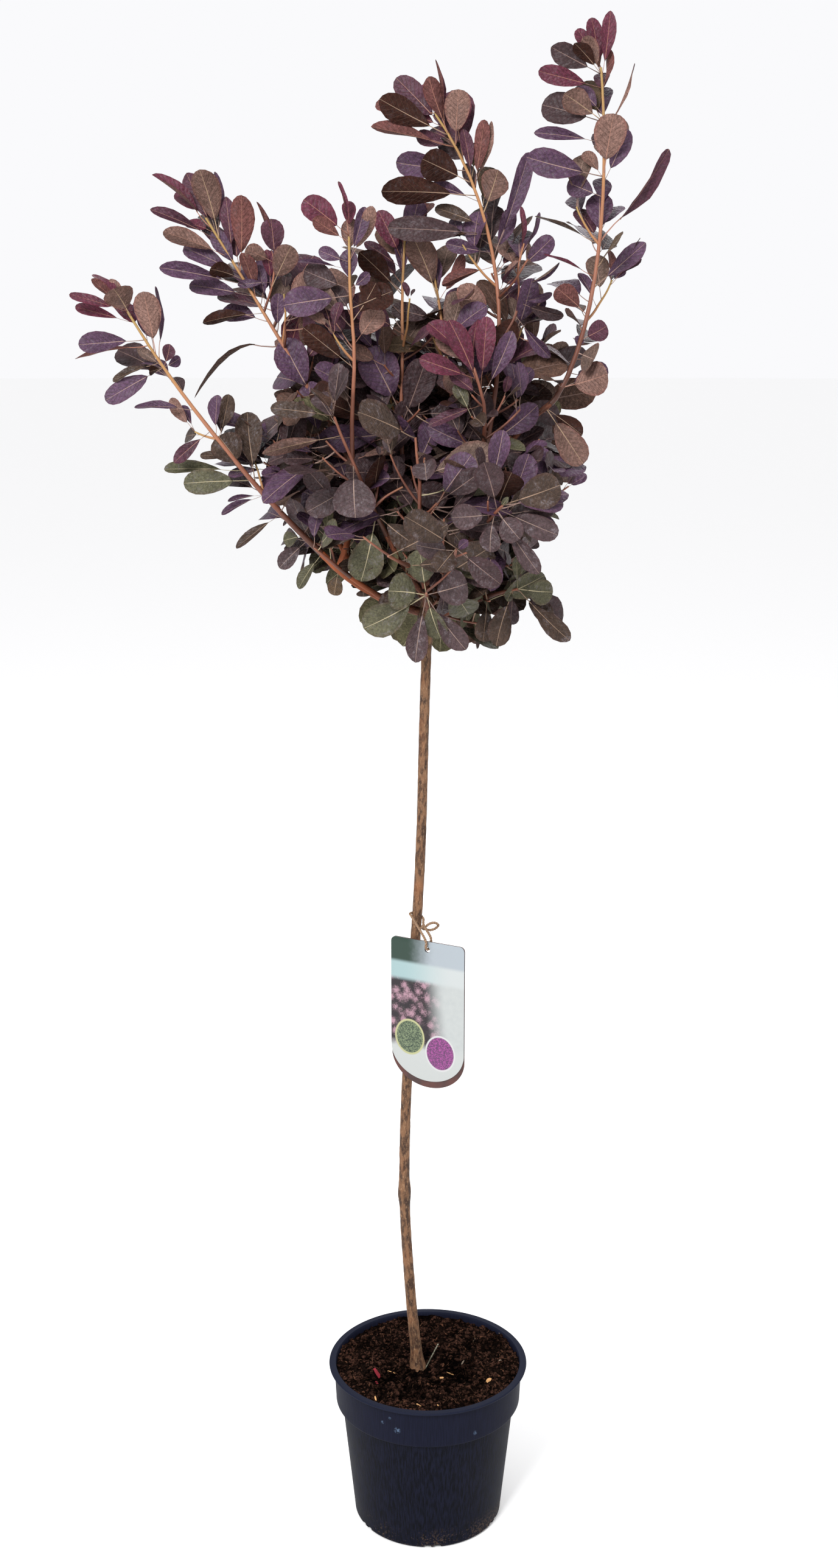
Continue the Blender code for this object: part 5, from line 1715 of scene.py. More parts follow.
def stem_paths():
    """Every stem, side twig and spur, with radii and ages."""
    paths = []
    for mass in MASSES:
        spurs, placed = FINE[mass.name]
        roots = [entry.leaf.root for entry in placed]
        stem = until_last_leaf(STEMS[mass.name], roots)
        twigs = [until_last_leaf(twig, roots) for twig in GROWN[mass.name][0]]
        foot = LIMBS[mass.name][1][-1]
        count = len(stem)
        radii = [foot + (STEM_TIP_RADIUS - foot) * (k / (count - 1)) ** 0.8 for k in range(count)]
        fresh = 0.0 if mass.length > LONG_SHOOT else 0.6
        paths.append((stem, radii, tapered(1.0, fresh, count)))
        for routes, radii, ages in (
            (twigs, SIDE_TWIG_RADII, (fresh + 0.4, fresh)),
            (EXTRA_TWIGS.get(mass.name, ()), SPUR_RADII, (0.9, 0.4)),
            (spurs, SPUR_RADII, (1.0, 0.6)),
        ):
            paths += [(twig, tapered(*radii, len(twig)), tapered(*ages, len(twig)))
                      for twig in routes if len(twig) > 2]
    return paths


piece = run(RODS, "twigs", path_mesh("stem paths", stem_paths()), Step=0.0035, Sides=8,
            Relief=0.0004, Grain=(1.2, 1.2, 160.0), Finish=stem_paint())
finish_piece(piece, "young_bark", *FOLIAGE_NODES)

# %% [markdown]
# ## Bark
#
# The stem is about a centimetre thick, brown and slightly mauve where it turns away, with fine
# lengthwise ridges, paler flecks and an old knuckle. The tree of the rods makes it, with more sides
# and more relief, through close stations, so that the knuckle and the grafted head come out round.


# %% Finely spaced trunk
TRUNK_DETAIL_STEP = 0.003
BURIED = 0.004
HEAD_ROUNDING = ((0.0, 1.0), (0.0022, 0.93), (0.0042, 0.74), (0.0055, 0.42))
LEFTWARD_WARMING = (-0.030, -0.070)


def fine_trunk():
    """Close stations of the trunk, from just under the soil to its rounded top."""
    stations = smooth_through(TRUNK_SWAY, TRUNK_DETAIL_STEP)
    foot, foot_side = stations[0]
    top, top_side = stations[-1]
    rows = [(foot - BURIED, foot_side, trunk_radius(foot))]
    rows += [(height, side, trunk_radius(height)) for height, side in stations[:-1]]
    rows += [(top + rise, top_side, trunk_radius(top) * share) for rise, share in HEAD_ROUNDING]
    points = [Vector((side, 0, height)) for height, side, radius in rows]
    return points, [radius for height, side, radius in rows], [1.0] * len(rows)


def bark_paint(name, dark, mid, pale, warm):
    """Bark with darker furrows, pale flecks and warm patches."""
    paint = Paint(name)
    grain = paint.attribute("grain")
    fine = paint.noise(3.2, 4, 0.62, paint.attribute("grain_place", "Vector"))
    flecks = paint.node("ShaderNodeTexVoronoi", {
        "Vector": paint.stretched((420, 420, 900)), "Scale": 1.0,
    })
    tint = paint.over(
        dark,
        (paint.step(grain, 0.38, 0.60), mid),
        (paint.step(fine, 0.52, 0.74) * 0.75, pale),
        (paint.step(paint.noise(26, 3), 0.56, 0.74) * 0.5, warm),
        ((1 - paint.step(flecks, 0.10, 0.22)) * 0.45, pale),
        # Bark left of x = -3 cm turns warmer and paler, fully so past x = -7 cm.
        (paint.step(paint.part(paint.place(), "X"), *LEFTWARD_WARMING) * 0.55, linear(warm, 1.35)),
    )
    return paint.surface(tint, paint.step(fine, 0.3, 0.7) * 0.16 + 0.58, specular=0.2,
                         normal=paint.bump(grain + fine * 0.7, 0.0006, 0.9))


TRUNK_BARK = bark_paint("stem bark", (54, 37, 28), (108, 78, 56), (152, 122, 94), (126, 80, 50))
BOUGH_BARK = bark_paint("bough bark", (56, 29, 21), (100, 54, 37), (140, 98, 72), (130, 68, 38))

piece = run(RODS, "trunk_bark", path_mesh("trunk path", [fine_trunk()]), Step=0.0012, Sides=28,
            Relief=0.0011, Grain=(1.7, 1.7, 85.0), Finish=TRUNK_BARK)
finish_piece(piece, "bark", "trunk")
bough_paths = [(*LIMBS[bough.name], [1.0] * len(LIMBS[bough.name][0])) for bough in BOUGHS]
piece = run(RODS, "bough_bark", path_mesh("bough paths", bough_paths), Step=0.002, Sides=14,
            Relief=0.0007, Grain=(1.4, 1.4, 110.0), Finish=BOUGH_BARK)
finish_piece(piece, "young_bark", *LIMB_NODES)

# %% [markdown]
# ## The pot
#
# A thin moulded pot with a lip, a wide band, a tapering body and a stepped base. Its profile,
# inside and outside, is turned round the Z axis. The turned shape is closed, so the drain holes and
# notches can be cut out of it with the Boolean modifier.

# %% Turn the profile
RIM_RADIUS = 0.105
RIM_TOP = 0.174
LIP_HEIGHT = 0.0025
BAND_TOP_RADIUS = 0.0996
BAND_FOOT_RADIUS = 0.0978
BAND_FOOT = 0.131
BODY_TOP_RADIUS = 0.0915
BASE_RADIUS = 0.0785
POT_WALL = 0.002
POT_FLOOR = 0.0025
CHANNEL_INNER_RADIUS = 0.058
CHANNEL_OUTER_RADIUS = 0.0725
CHANNEL_HEIGHT = 0.005
POT_SEGMENTS = 160


def arc(middle, radius, start, end, steps):
    """Points on part of a circle, from one angle to another."""
    turns = [math.radians(start + (end - start) * k / steps) for k in range(steps + 1)]
    return [(middle[0] + radius * math.cos(a), middle[1] + radius * math.sin(a)) for a in turns]


def straight(a, b, steps):
    """Points after a and up to b on a straight line."""
    return [(a[0] + (b[0] - a[0]) * k / steps, a[1] + (b[1] - a[1]) * k / steps)
            for k in range(1, steps + 1)]


def pot_inside(gap):
    """The pot's inner surface from the axis to the rim, moved inwards by a gap."""
    inset = POT_WALL + gap
    roof = CHANNEL_HEIGHT + POT_FLOOR
    step_radius = CHANNEL_INNER_RADIUS - POT_FLOOR - gap
    return [
        (0, POT_FLOOR + gap), (step_radius, POT_FLOOR + gap), (step_radius, roof + gap),
        (BASE_RADIUS - inset, roof + gap), (BODY_TOP_RADIUS - inset, BAND_FOOT + inset),
        (BAND_FOOT_RADIUS - inset, BAND_FOOT + inset), (BAND_TOP_RADIUS - inset, RIM_TOP - 0.001),
    ]


def pot_outside():
    """The outer surface from the lip to the axis."""
    half = LIP_HEIGHT / 2
    lip = [(BAND_TOP_RADIUS - POT_WALL + 0.0006, RIM_TOP)]
    lip += arc((RIM_RADIUS - half, RIM_TOP - half), half, 90, -90, 8)
    fillet = arc((BAND_TOP_RADIUS + 0.0014, RIM_TOP - LIP_HEIGHT - 0.0014), 0.0014, 90, 180, 4)
    band = straight(fillet[-1], (BAND_FOOT_RADIUS, BAND_FOOT + 0.002), 8)
    roll = arc((BAND_FOOT_RADIUS - 0.002, BAND_FOOT + 0.002), 0.002, 0, -90, 5)[1:]
    neck = arc((BODY_TOP_RADIUS + 0.001, BAND_FOOT - 0.001), 0.001, 90, 180, 3)
    body = straight(neck[-1], (BASE_RADIUS, 0.0045), 14)
    heel = arc((BASE_RADIUS - 0.004, 0.0042), 0.0041, 0, -90, 5)[1:]
    heel = [(radius, max(height, 0)) for radius, height in heel]
    under = [(CHANNEL_OUTER_RADIUS, 0), (CHANNEL_OUTER_RADIUS, CHANNEL_HEIGHT),
             (CHANNEL_INNER_RADIUS, CHANNEL_HEIGHT), (CHANNEL_INNER_RADIUS, 0), (0, 0)]
    return lip + fillet + band + roll + neck + body + heel + under


def turned(name, profile):
    """A closed shape turned round the Z axis from (radius, height) pairs that end on the axis."""
    work = bmesh.new()
    angles = [2 * math.pi * k / POT_SEGMENTS for k in range(POT_SEGMENTS)]
    rings = [
        [work.verts.new((radius * math.cos(a), radius * math.sin(a), height))
         for a in (angles if radius > 1e-6 else [0])]
        for radius, height in profile
    ]
    add_skin(work, rings)
    return show(name, as_mesh(work, name))


def smooth(piece, angle):
    """Shades a piece smooth, with sharp edges over an angle in degrees."""
    piece.data.shade_smooth()
    piece.data.set_sharp_from_angle(angle=math.radians(angle))


pot = turned("nursery_pot", pot_inside(0) + pot_outside())
print("the pot is", round(2 * RIM_RADIUS, 3), "m wide at its lip")

# %% Cut the drain holes and notches
DRAIN_COUNT = 6
DRAIN_RADIUS = 0.004
DRAIN_RING = (CHANNEL_INNER_RADIUS + CHANNEL_OUTER_RADIUS) / 2
NOTCH_HEADING = 273.5
NOTCH_SPACING = 0.0105
NOTCH_SIZE = Vector((0.012, 0.0075, 0.0052))
NOTCH_RING = BASE_RADIUS - 0.001


def on_ring(radius, heading, height):
    """A shift to a place round the pot."""
    return Matrix.Translation((radius * math.cos(heading), radius * math.sin(heading), height))


def cut_with(piece, tool_mesh):
    """Cuts a mesh out of a piece and makes the result plain."""
    tool = show("tool", tool_mesh)
    cut = piece.modifiers.new("Cut", "BOOLEAN")
    cut.operation = "DIFFERENCE"
    cut.object = tool
    mesh = evaluated(piece)
    piece.modifiers.clear()
    piece.data = mesh
    bpy.data.objects.remove(tool)


tools = bmesh.new()
for number in range(DRAIN_COUNT):
    heading = math.radians(NOTCH_HEADING + (number + 0.5) * 360 / DRAIN_COUNT)
    bmesh.ops.create_cone(tools, cap_ends=True, segments=32, radius1=DRAIN_RADIUS,
                          radius2=DRAIN_RADIUS, depth=4 * POT_FLOOR,
                          matrix=on_ring(DRAIN_RING, heading, CHANNEL_HEIGHT + POT_FLOOR / 2))
    for side in (-1, 1):
        heading = math.radians(NOTCH_HEADING + number * 360 / DRAIN_COUNT)
        heading += side * NOTCH_SPACING / 2 / BASE_RADIUS
        place = on_ring(NOTCH_RING, heading, NOTCH_SIZE.z / 2 - 0.001)
        place @= Matrix.Rotation(heading, 4, "Z") @ Matrix.Diagonal((*NOTCH_SIZE, 1))
        bmesh.ops.create_cube(tools, size=1, matrix=place)
cut_with(pot, as_mesh(tools, "tools"))
smooth(pot, 30)
print(DRAIN_COUNT, "drain holes and", 2 * DRAIN_COUNT, "notches cut")

# %% [markdown]
# ## Black plastic
#
# Nursery pots are thin recycled plastic: blue-black with a fine upright grain from the mould, a
# soft shine, dust towards the foot and pale scuffs. Noise that is squeezed sideways and stretched
# upwards gives the grain.

# %% Paint the pot
POT_SCUFFS = (((628, 2337), 0.0024), ((652, 2351), 0.0046), ((640, 2330), 0.0020),
              ((782, 2355), 0.0034))


def on_pot(spot, radius):
    """The point of an upright cylinder round the Z axis that shows at a pixel."""
    ray = (under_pixel(spot, 0) - CAMERA_PLACE).normalized()
    square, cross = ray.x**2 + ray.y**2, CAMERA_PLACE.x * ray.x + CAMERA_PLACE.y * ray.y
    rest = CAMERA_PLACE.x**2 + CAMERA_PLACE.y**2 - radius**2
    return CAMERA_PLACE + ray * ((-cross - math.sqrt(cross**2 - square * rest)) / square)


def plastic_paint():
    paint = Paint("black plastic")
    grain = paint.noise(1, 2, 0.5, paint.stretched((900, 900, 6)))
    broad = paint.noise(22, 4, 0.6)
    speck = paint.noise(420, 3, 0.7)
    height = paint.height()
    dust = (1 - paint.step(height, 0.002, 0.030)) * paint.step(speck + broad * 0.5, 0.78, 0.92)
    rubbed = paint.step(speck, 0.42, 0.56)
    scuffs = []
    for spot, size in POT_SCUFFS:
        ends = {0: paint.place(), 1: on_pot(spot, BAND_TOP_RADIUS)}
        gap = paint.node("ShaderNodeVectorMath", ends, "Value", operation="DISTANCE")
        scuffs.append((1 - paint.step(gap, size * 0.3, size)) * rubbed)
    tint = paint.over(
        (6, 7, 13),
        (paint.step(grain, 0.32, 0.68), (17, 19, 33)),
        (paint.step(height, BAND_FOOT - 0.001, BAND_FOOT + 0.001) * 0.5, (20, 22, 38)),
        # Painted highlight: the lip is lighter along its top.
        (paint.step(height, RIM_TOP - LIP_HEIGHT - 0.001, RIM_TOP - 0.001) * 0.5, (27, 31, 46)),
        (dust * 0.6, (84, 68, 56)),
        (sum(scuffs[1:], scuffs[0]) * 0.7, (86, 104, 128)),
    )
    relief = grain * 0.9 + broad * 0.3 + speck * 0.2
    return paint.surface(tint, grain * 0.14 + broad * 0.16 + 0.42, specular=0.05,
                         normal=paint.bump(relief, 0.0003, 0.6))


finish_piece(pot, "pot", "pot", material=plastic_paint())

# %% [markdown]
# ## Soil
#
# Potting soil is dark brown, crumbly and full of fibres. One closed block fills the pot, and its
# top is a grid of rings raised and lowered by noise. Crumbs and bits of bark are scattered over it
# by a geometry tree: one small lump on each point, at a random turn and size.

# %% The block of soil
SOIL_TOP = 0.1655
SOIL_RINGS = 44
SOIL_LUMPS = 0.0064
SOIL_EDGE_RISE = 0.0030


def soil_height(x, y):
    """Height of the soil over a place in the pot."""
    spot = Vector((x, y, 0))
    rise = noise.fractal(spot * 55, 0.9, 2.1, 3, noise_basis="PERLIN_ORIGINAL") * 0.55
    rise += noise.fractal(spot * 230, 0.8, 2.2, 3, noise_basis="PERLIN_ORIGINAL") * 0.45
    edge = math.hypot(x, y) / (BAND_TOP_RADIUS - POT_WALL)
    return SOIL_TOP + SOIL_LUMPS * rise + SOIL_EDGE_RISE * edge**3


def soil_block():
    inside = pot_inside(CLEARANCE)
    foot, top = inside[-2], inside[-1]
    share = (SOIL_TOP - foot[1]) / (top[1] - foot[1])
    edge = foot[0] + (top[0] - foot[0]) * share
    rings = [(edge * (k / SOIL_RINGS), SOIL_TOP) for k in range(SOIL_RINGS + 1)]
    block = turned("soil_block", rings + list(reversed(inside[:-1])))
    for vertex in block.data.vertices:
        if abs(vertex.co.z - SOIL_TOP) < 1e-6:
            vertex.co.z = soil_height(vertex.co.x, vertex.co.y)
    return block


soil = soil_block()
smooth(soil, 60)
print("soil", round(SOIL_TOP, 3), "m up, with lumps of", 1000 * SOIL_LUMPS, "mm")


# %% Crumbs and bits
def crumb_shape(name, squash, seed):
    """A broken lump of twenty-odd faces."""
    work = bmesh.new()
    bmesh.ops.create_icosphere(work, subdivisions=1, radius=1)
    draw = random.Random(seed)
    for vertex in work.verts:
        vertex.co *= draw.uniform(0.7, 1.25)
        vertex.co = Vector(a * b for a, b in zip(vertex.co, squash))
    return as_mesh(work, name)


def fibre_shape(name, seed):
    """A bent fibre with three sides."""
    sway = random.Random(seed).uniform(-0.5, 0.5)
    work = bmesh.new()
    rings = []
    for k in range(6):
        t = k / 5
        middle = Vector((2 * t - 1, sway * math.sin(math.pi * t), 0.12 * math.sin(math.pi * t)))
        radius = 0.05 * (1 - 0.7 * abs(2 * t - 1))
        turns = (0.5, 0.5 + 2 * math.pi / 3, 0.5 + 4 * math.pi / 3)
        rings.append([work.verts.new(middle + Vector((0, math.cos(a), math.sin(a))) * radius)
                      for a in turns])
    add_skin(work, rings)
    return as_mesh(work, name)


def scatter_recipe():
    """Scatters shapes over the faces that look up, at random turns and sizes."""
    recipe = Recipe("scatter", Shapes="Collection", Amount="Float", Apart="Float",
                    Smallest="Float", Largest="Float", Seed="Int", Finish="Material")
    node, given = recipe.node, recipe.given
    up = recipe.part(node("GeometryNodeInputNormal"), "Z")
    over = recipe.part(node("GeometryNodeInputPosition"), "Z")
    level = node("FunctionNodeCompare", {0: over + up * 0.1, 1: SOIL_TOP + 0.07}, data_type="FLOAT")
    points = node("GeometryNodeDistributePointsOnFaces", {
        "Mesh": given("Guide"), "Selection": level, "Distance Min": given("Apart"),
        "Density Max": given("Amount"), "Seed": given("Seed"),
    }, distribute_method="POISSON")
    turn = node("FunctionNodeRandomValue", {0: (-0.6, -0.6, 0), 1: (0.6, 0.6, 6.283),
                                            "Seed": given("Seed")}, data_type="FLOAT_VECTOR")
    size = node("FunctionNodeRandomValue", {2: given("Smallest"), 3: given("Largest"),
                                            "Seed": given("Seed") + 7}, 1, data_type="FLOAT")
    real = recipe.copies(points, node("FunctionNodeEulerToRotation", {"Euler": turn}), size)
    recipe.end(recipe.paint(real, "Finish"))
    return recipe


SCATTER = scatter_recipe()
CRUMBS = shape_group("crumbs", [crumb_shape(f"crumb_{k}", (1, 0.8, 0.6), k) for k in range(6)])
CHIPS = shape_group("chips", [crumb_shape(f"chip_{k}", (1, 0.42, 0.16), 20 + k) for k in range(5)])
FIBRES = shape_group("fibres", [fibre_shape(f"fibre_{k}", 40 + k) for k in range(6)])
print("three kinds of bits")

# %% Paint and scatter the soil
SOIL_BITS = (
    ("red_bits", (150, 52, 62), (
        ((614, 2252), (626, 2268), 0.0022), ((616, 2270), (624, 2278), 0.0012),
    )),
    ("straw_bits", (206, 158, 108), (
        ((636, 2251), (652, 2259), 0.0011), ((731, 2253), (748, 2260), 0.0010),
        ((722, 2266), (729, 2269), 0.0016), ((797, 2274), (808, 2275), 0.0028),
        ((684, 2312), (692, 2314), 0.0011), ((658, 2305), (661, 2312), 0.0010),
        ((616, 2300), (618, 2308), 0.0011), ((718, 2314), (722, 2315), 0.0009),
    )),
    ("pale_bits", (150, 134, 118), (
        ((820, 2198), (824, 2194), 0.0011), ((776, 2206), (781, 2203), 0.0010),
        ((819, 2236), (824, 2237), 0.0013), ((757, 2242), (763, 2238), 0.0010),
    )),
)
TWIGLET_PIXELS = ((698, 2246), (720, 2208))
TWIGLET_RADIUS = 0.0007


def soil_paint(name, dark, pale, rough):
    paint = Paint(name)
    crumb = paint.noise(420, 4, 0.7)
    patch = paint.noise(34, 4)
    hollow_shade = 1 - paint.step(paint.height(), SOIL_TOP - 0.0016, SOIL_TOP + 0.0016)
    tint = paint.over(
        dark,
        (paint.step(crumb, 0.36, 0.68), pale),
        (paint.step(patch, 0.46, 0.62) * 0.75, linear(dark, 0.4)),
        # Painted shade: the soil is darker where it lies below its mean level.
        (hollow_shade * 0.85, linear(dark, 0.3)),
    )
    return paint.surface(tint, crumb * 0.1 + rough, specular=0.01,
                         normal=paint.bump(crumb + patch, 0.0020))


finish_piece(soil, "soil", "soil", material=soil_paint("soil ground", (4, 2, 2), (30, 20, 15), 0.9))
SCATTERS = (
    ("soil_crumbs", CRUMBS, 60000, 0.0024, 0.0007, 0.0036, 3,
     soil_paint("soil crumbs", (5, 3, 3), (76, 51, 41), 0.9)),
    ("bark_chips", CHIPS, 6000, 0.0068, 0.0018, 0.0044, 5,
     soil_paint("bark chips", (20, 12, 8), (112, 76, 58), 0.86)),
    ("soil_fibres", FIBRES, 9000, 0.0056, 0.0018, 0.0072, 8,
     soil_paint("fibres", (30, 20, 14), (118, 84, 64), 0.88)),
)
for bit_name, bits, amount, apart, smallest, largest, bit_seed, bit_paint in SCATTERS:
    piece = run(SCATTER, bit_name, soil.data, Shapes=bits, Amount=amount, Apart=apart,
                Smallest=smallest, Largest=largest, Seed=bit_seed, Finish=bit_paint)
    finish_piece(piece, "soil", "soil")
    clear_group(bits)


def on_soil(spot):
    """The point of the soil that shows at a pixel."""
    ray = under_pixel(spot, 0) - CAMERA_PLACE
    level = CAMERA_PLACE + ray * ((SOIL_TOP - CAMERA_PLACE.z) / ray.z)
    return Vector((level.x, level.y, soil_height(level.x, level.y)))


for bit_name, colour, bits in SOIL_BITS:
    heap = bmesh.new()
    for number, (spot, end, thick) in enumerate(bits):
        near, far = on_soil(spot), on_soil(end)
        squash = ((far - near).length / 2, thick, thick * 0.7)
        bit = crumb_shape(f"{bit_name}_{number}", squash, 60 + number)
        turn = (far - near).to_track_quat("X", "Z").to_matrix().to_4x4()
        bit.transform(Matrix.Translation((near + far) / 2 + Vector((0, 0, thick * 0.8))) @ turn)
        heap.from_mesh(bit)
    piece = show(bit_name, as_mesh(heap, bit_name))
    finish_piece(piece, "soil", "soil",
                 material=soil_paint(bit_name.replace("_", " "), colour, colour, 0.7))
twiglet_foot = on_soil(TWIGLET_PIXELS[0])
twiglet_tip = under_pixel(TWIGLET_PIXELS[1], twiglet_foot.y)
twiglet = [twiglet_foot - Vector((0, 0, BURIED)), twiglet_foot, twiglet_tip]
twiglet_mesh = path_mesh("twiglet path", [(twiglet, [TWIGLET_RADIUS] * 3, [0.2] * 3)])
piece = run(RODS, "twiglet", twiglet_mesh, Step=0.002, Sides=8, Relief=0.0002,
            Grain=(1.2, 1.2, 160.0),
            Finish=soil_paint("dry twiglet", (96, 92, 78), (150, 148, 132), 0.7))
finish_piece(piece, "soil", "soil")

# %% [markdown]
# ## The label
#
# Two cards hang one behind the other from a twine, turned so that their right side is nearer the
# front. Each is a tongue with small round shoulders and a bowl-shaped foot: an outline filled round
# the hole for the twine, thickened, and given a fine bevel.

# %% Cut the cards
LABEL_WIDTH = 0.083
LABEL_HEIGHT = 0.148
LABEL_CORNER = 0.005
LABEL_BOWL = 0.034
LABEL_THICKNESS = 0.0012
LABEL_BEVEL = 0.0002
LABEL_TURN = -29
LABEL_TOP = Vector((-0.001, -0.0202, 0.647))
LABEL_BACK_DROP = 0.0075
HOLE_DROP = 0.0085
HOLE_RADIUS = 0.003


def label_frame(depth):
    """The label's own frame: X across, Y up and Z towards the front, depth behind its face."""
    turn = Matrix.Rotation(math.radians(LABEL_TURN), 4, "Z")
    stand = Matrix.Rotation(math.radians(90), 4, "X")
    return Matrix.Translation(LABEL_TOP) @ turn @ stand @ Matrix.Translation((0, 0, -depth))


def card_outline(extra):
    """A tongue: square shoulders with small round corners and a bowl-shaped foot."""
    half, corner = LABEL_WIDTH / 2, LABEL_CORNER
    foot = -LABEL_HEIGHT - extra
    points = arc((half - corner, -corner), corner, 0, 90, 8)
    points += arc((corner - half, -corner), corner, 90, 180, 8)
    for step in range(49):
        angle = math.radians(180 + 180 * step / 48)
        points.append((half * math.cos(angle), foot + LABEL_BOWL * (1 + math.sin(angle))))
    return points


def card(name, extra, depth):
    """One card with its hole, as a bevelled solid."""
    curve = bpy.data.curves.new(name, "CURVE")
    curve.dimensions = "2D"
    curve.fill_mode = "BOTH"
    curve.extrude = LABEL_THICKNESS / 2
    for loop in (card_outline(extra), arc((0, -HOLE_DROP), HOLE_RADIUS, 0, 345, 23)):
        spline = curve.splines.new("POLY")
        spline.points.add(len(loop) - 1)
        spline.use_cyclic_u = True
        for spot, (x, y) in zip(spline.points, loop):
            spot.co = (x, y, 0, 1)
    guide = show(name + "_guide", curve)
    work = bmesh.new()
    work.from_mesh(evaluated(guide))
    bpy.data.objects.remove(guide)
    bmesh.ops.remove_doubles(work, verts=work.verts, dist=0.00001)
    bmesh.ops.recalc_face_normals(work, faces=work.faces)
    rims = [edge for edge in work.edges
            if len(edge.link_faces) == 2 and edge.calc_face_angle() > math.radians(60)]
    bmesh.ops.bevel(work, geom=rims, offset=LABEL_BEVEL, segments=2, affect="EDGES", profile=0.6)
    bmesh.ops.transform(work, verts=work.verts, matrix=label_frame(depth))
    made = show(name, as_mesh(work, name))
    smooth(made, 35)
    return made


print("a card is", round(1000 * LABEL_WIDTH), "by", round(1000 * LABEL_HEIGHT), "mm")

# %% [markdown]
# ## Printed card
#
# The print is bare of words: a dark header, a pale band, a blurred purple leaf pattern, a rounded
# green patch and a small pink ring. The shader draws it in the label's own frame: a Mapping node
# turns the object's coordinates into millimetres across and up the card.


# %% Print the front card
INK_GAIN = 0.46


def card_place(paint):
    """Millimetres across and up the card, from the middle of its upper edge."""
    back = label_frame(0).inverted()
    metres = paint.node("ShaderNodeMapping", {
        "Vector": paint.place(), "Location": back.to_translation(), "Rotation": back.to_euler(),
    })
    return paint.node("ShaderNodeVectorMath", {0: metres, "Scale": 1000.0}, operation="SCALE")


def disc(across, up, middle, radii):
    """Distance from a middle, in units of its radii."""
    dx = (across - middle[0]) / radii[0]
    dy = (up - middle[1]) / radii[1]
    square = dx * dx + dy * dy
    return square.maths("SQRT", square)


def ink(*colour):
    return linear(colour, INK_GAIN)


def print_paint():
    paint = Paint("printed card")
    mix, step = paint.mix, paint.step
    spot = card_place(paint)
    across, up = paint.part(spot, "X"), paint.part(spot, "Y")
    blur = paint.noise(0.16, 4, 0.6, spot)
    speckle = paint.noise(0.9, 4, 0.7, spot)
    shade = step(paint.cells(0.11, 0.35, spot) * 0.6 + speckle * 0.7, 0.42, 0.72)
    patch = disc(across, up, (-20.0, -104.0), (17.0, 19.0))
    ring = disc(across, up, (15.0, -116.0), (17.0, 19.0))
    paper = mix(blur, ink(206, 212, 212), ink(226, 230, 228))
    pale = mix(step(across, -30.0, 30.0), ink(186, 216, 218), ink(226, 232, 232))
    header = mix(step(across + blur * 10, -18.0, 14.0), ink(48, 74, 62), ink(196, 206, 214))
    inner = mix(step(speckle, 0.40, 0.60), ink(40, 62, 52), ink(150, 166, 128))
    petals = mix(step(speckle, 0.40, 0.62), ink(92, 58, 100), ink(198, 92, 178))
    ground = paint.over(
        ink(206, 162, 178),
        (shade, ink(46, 36, 44)),
        (step(blur, 0.52, 0.66) * 0.7, ink(70, 66, 64)),
        (step(across + up * 0.12, -12.0, 14.0), paper),
        (1 - step(up + blur * 6, -114.0, -104.0), ink(222, 226, 224)),
        (step(up, -46.0, -40.0), pale),
        (step(up, -27.0, -22.0), header),
        (1 - step(patch, 0.97, 1.03), ink(214, 214, 160)),
        (1 - step(patch, 0.86, 0.92), inner),
        (1 - step(ring, 0.97, 1.03), ink(240, 240, 240)),
        (1 - step(ring, 0.88, 0.93), petals),
    )
    return paint.surface(ground, blur * 0.1 + 0.36, specular=0.3, coat_weight=0.08,
                         coat_roughness=0.2, normal=paint.bump(paint.noise(900, 2), 0.00008, 0.4))


def back_paint():
    paint = Paint("back card")
    blur = paint.noise(60, 4)
    tint = paint.mix(paint.step(blur, 0.35, 0.65), (44, 16, 13), (70, 30, 22))
    return paint.surface(tint, blur * 0.15 + 0.45,
                         normal=paint.bump(paint.noise(900, 2), 0.00008, 0.4))


finish_piece(card("label_front", 0, 0), "label", "label", material=print_paint())
piece = card("label_behind", LABEL_BACK_DROP, LABEL_THICKNESS + CLEARANCE)
finish_piece(piece, "label_back", "label_back", material=back_paint())

# %% [markdown]
# ## The twine
#
# A loop of two-ply twine holds the label to the stem. Its route is a closed smooth curve round the
# stem and through both holes. Each ply is a thin rod that winds round that route, half a turn from
# the other.

# %% Twist the twine
TWINE_RADIUS = 0.0008
TWINE_HEIGHT = 0.664
TWINE_SLACK = 0.0005
TWINE_RISE = 0.006
TWIST_STEP = 0.0042
PLY_RADIUS = 0.00078
PLY_REACH = PLY_RADIUS * 0.86
KNOT_PIXEL = (695, 1524)
EAR_PIXELS = ((698, 1524), (705, 1518), (714, 1516), (720, 1520), (714, 1526), (705, 1528),
              (699, 1526))
KNOT_RADIUS = 0.0015


def place_at(points, height):
    """The place on a rising route at a height."""
    for a, b in zip(points, points[1:]):
        if a.z <= height <= b.z:
            return a.lerp(b, (height - a.z) / (b.z - a.z))
    return points[-1]


def round_loop(knots, steps):
    """A closed smooth curve through the knots."""
    count = len(knots)
    points = []
    for i in range(count):
        a, b, c, d = (knots[(i + k) % count] for k in (-1, 0, 1, 2))
        for t in (k / steps for k in range(steps)):
            points.append(0.5 * ((2 * b) + (c - a) * t + (2 * a - 5 * b + 4 * c - d) * t**2
                                 + (3 * b - a - 3 * c + d) * t**3))
    return points


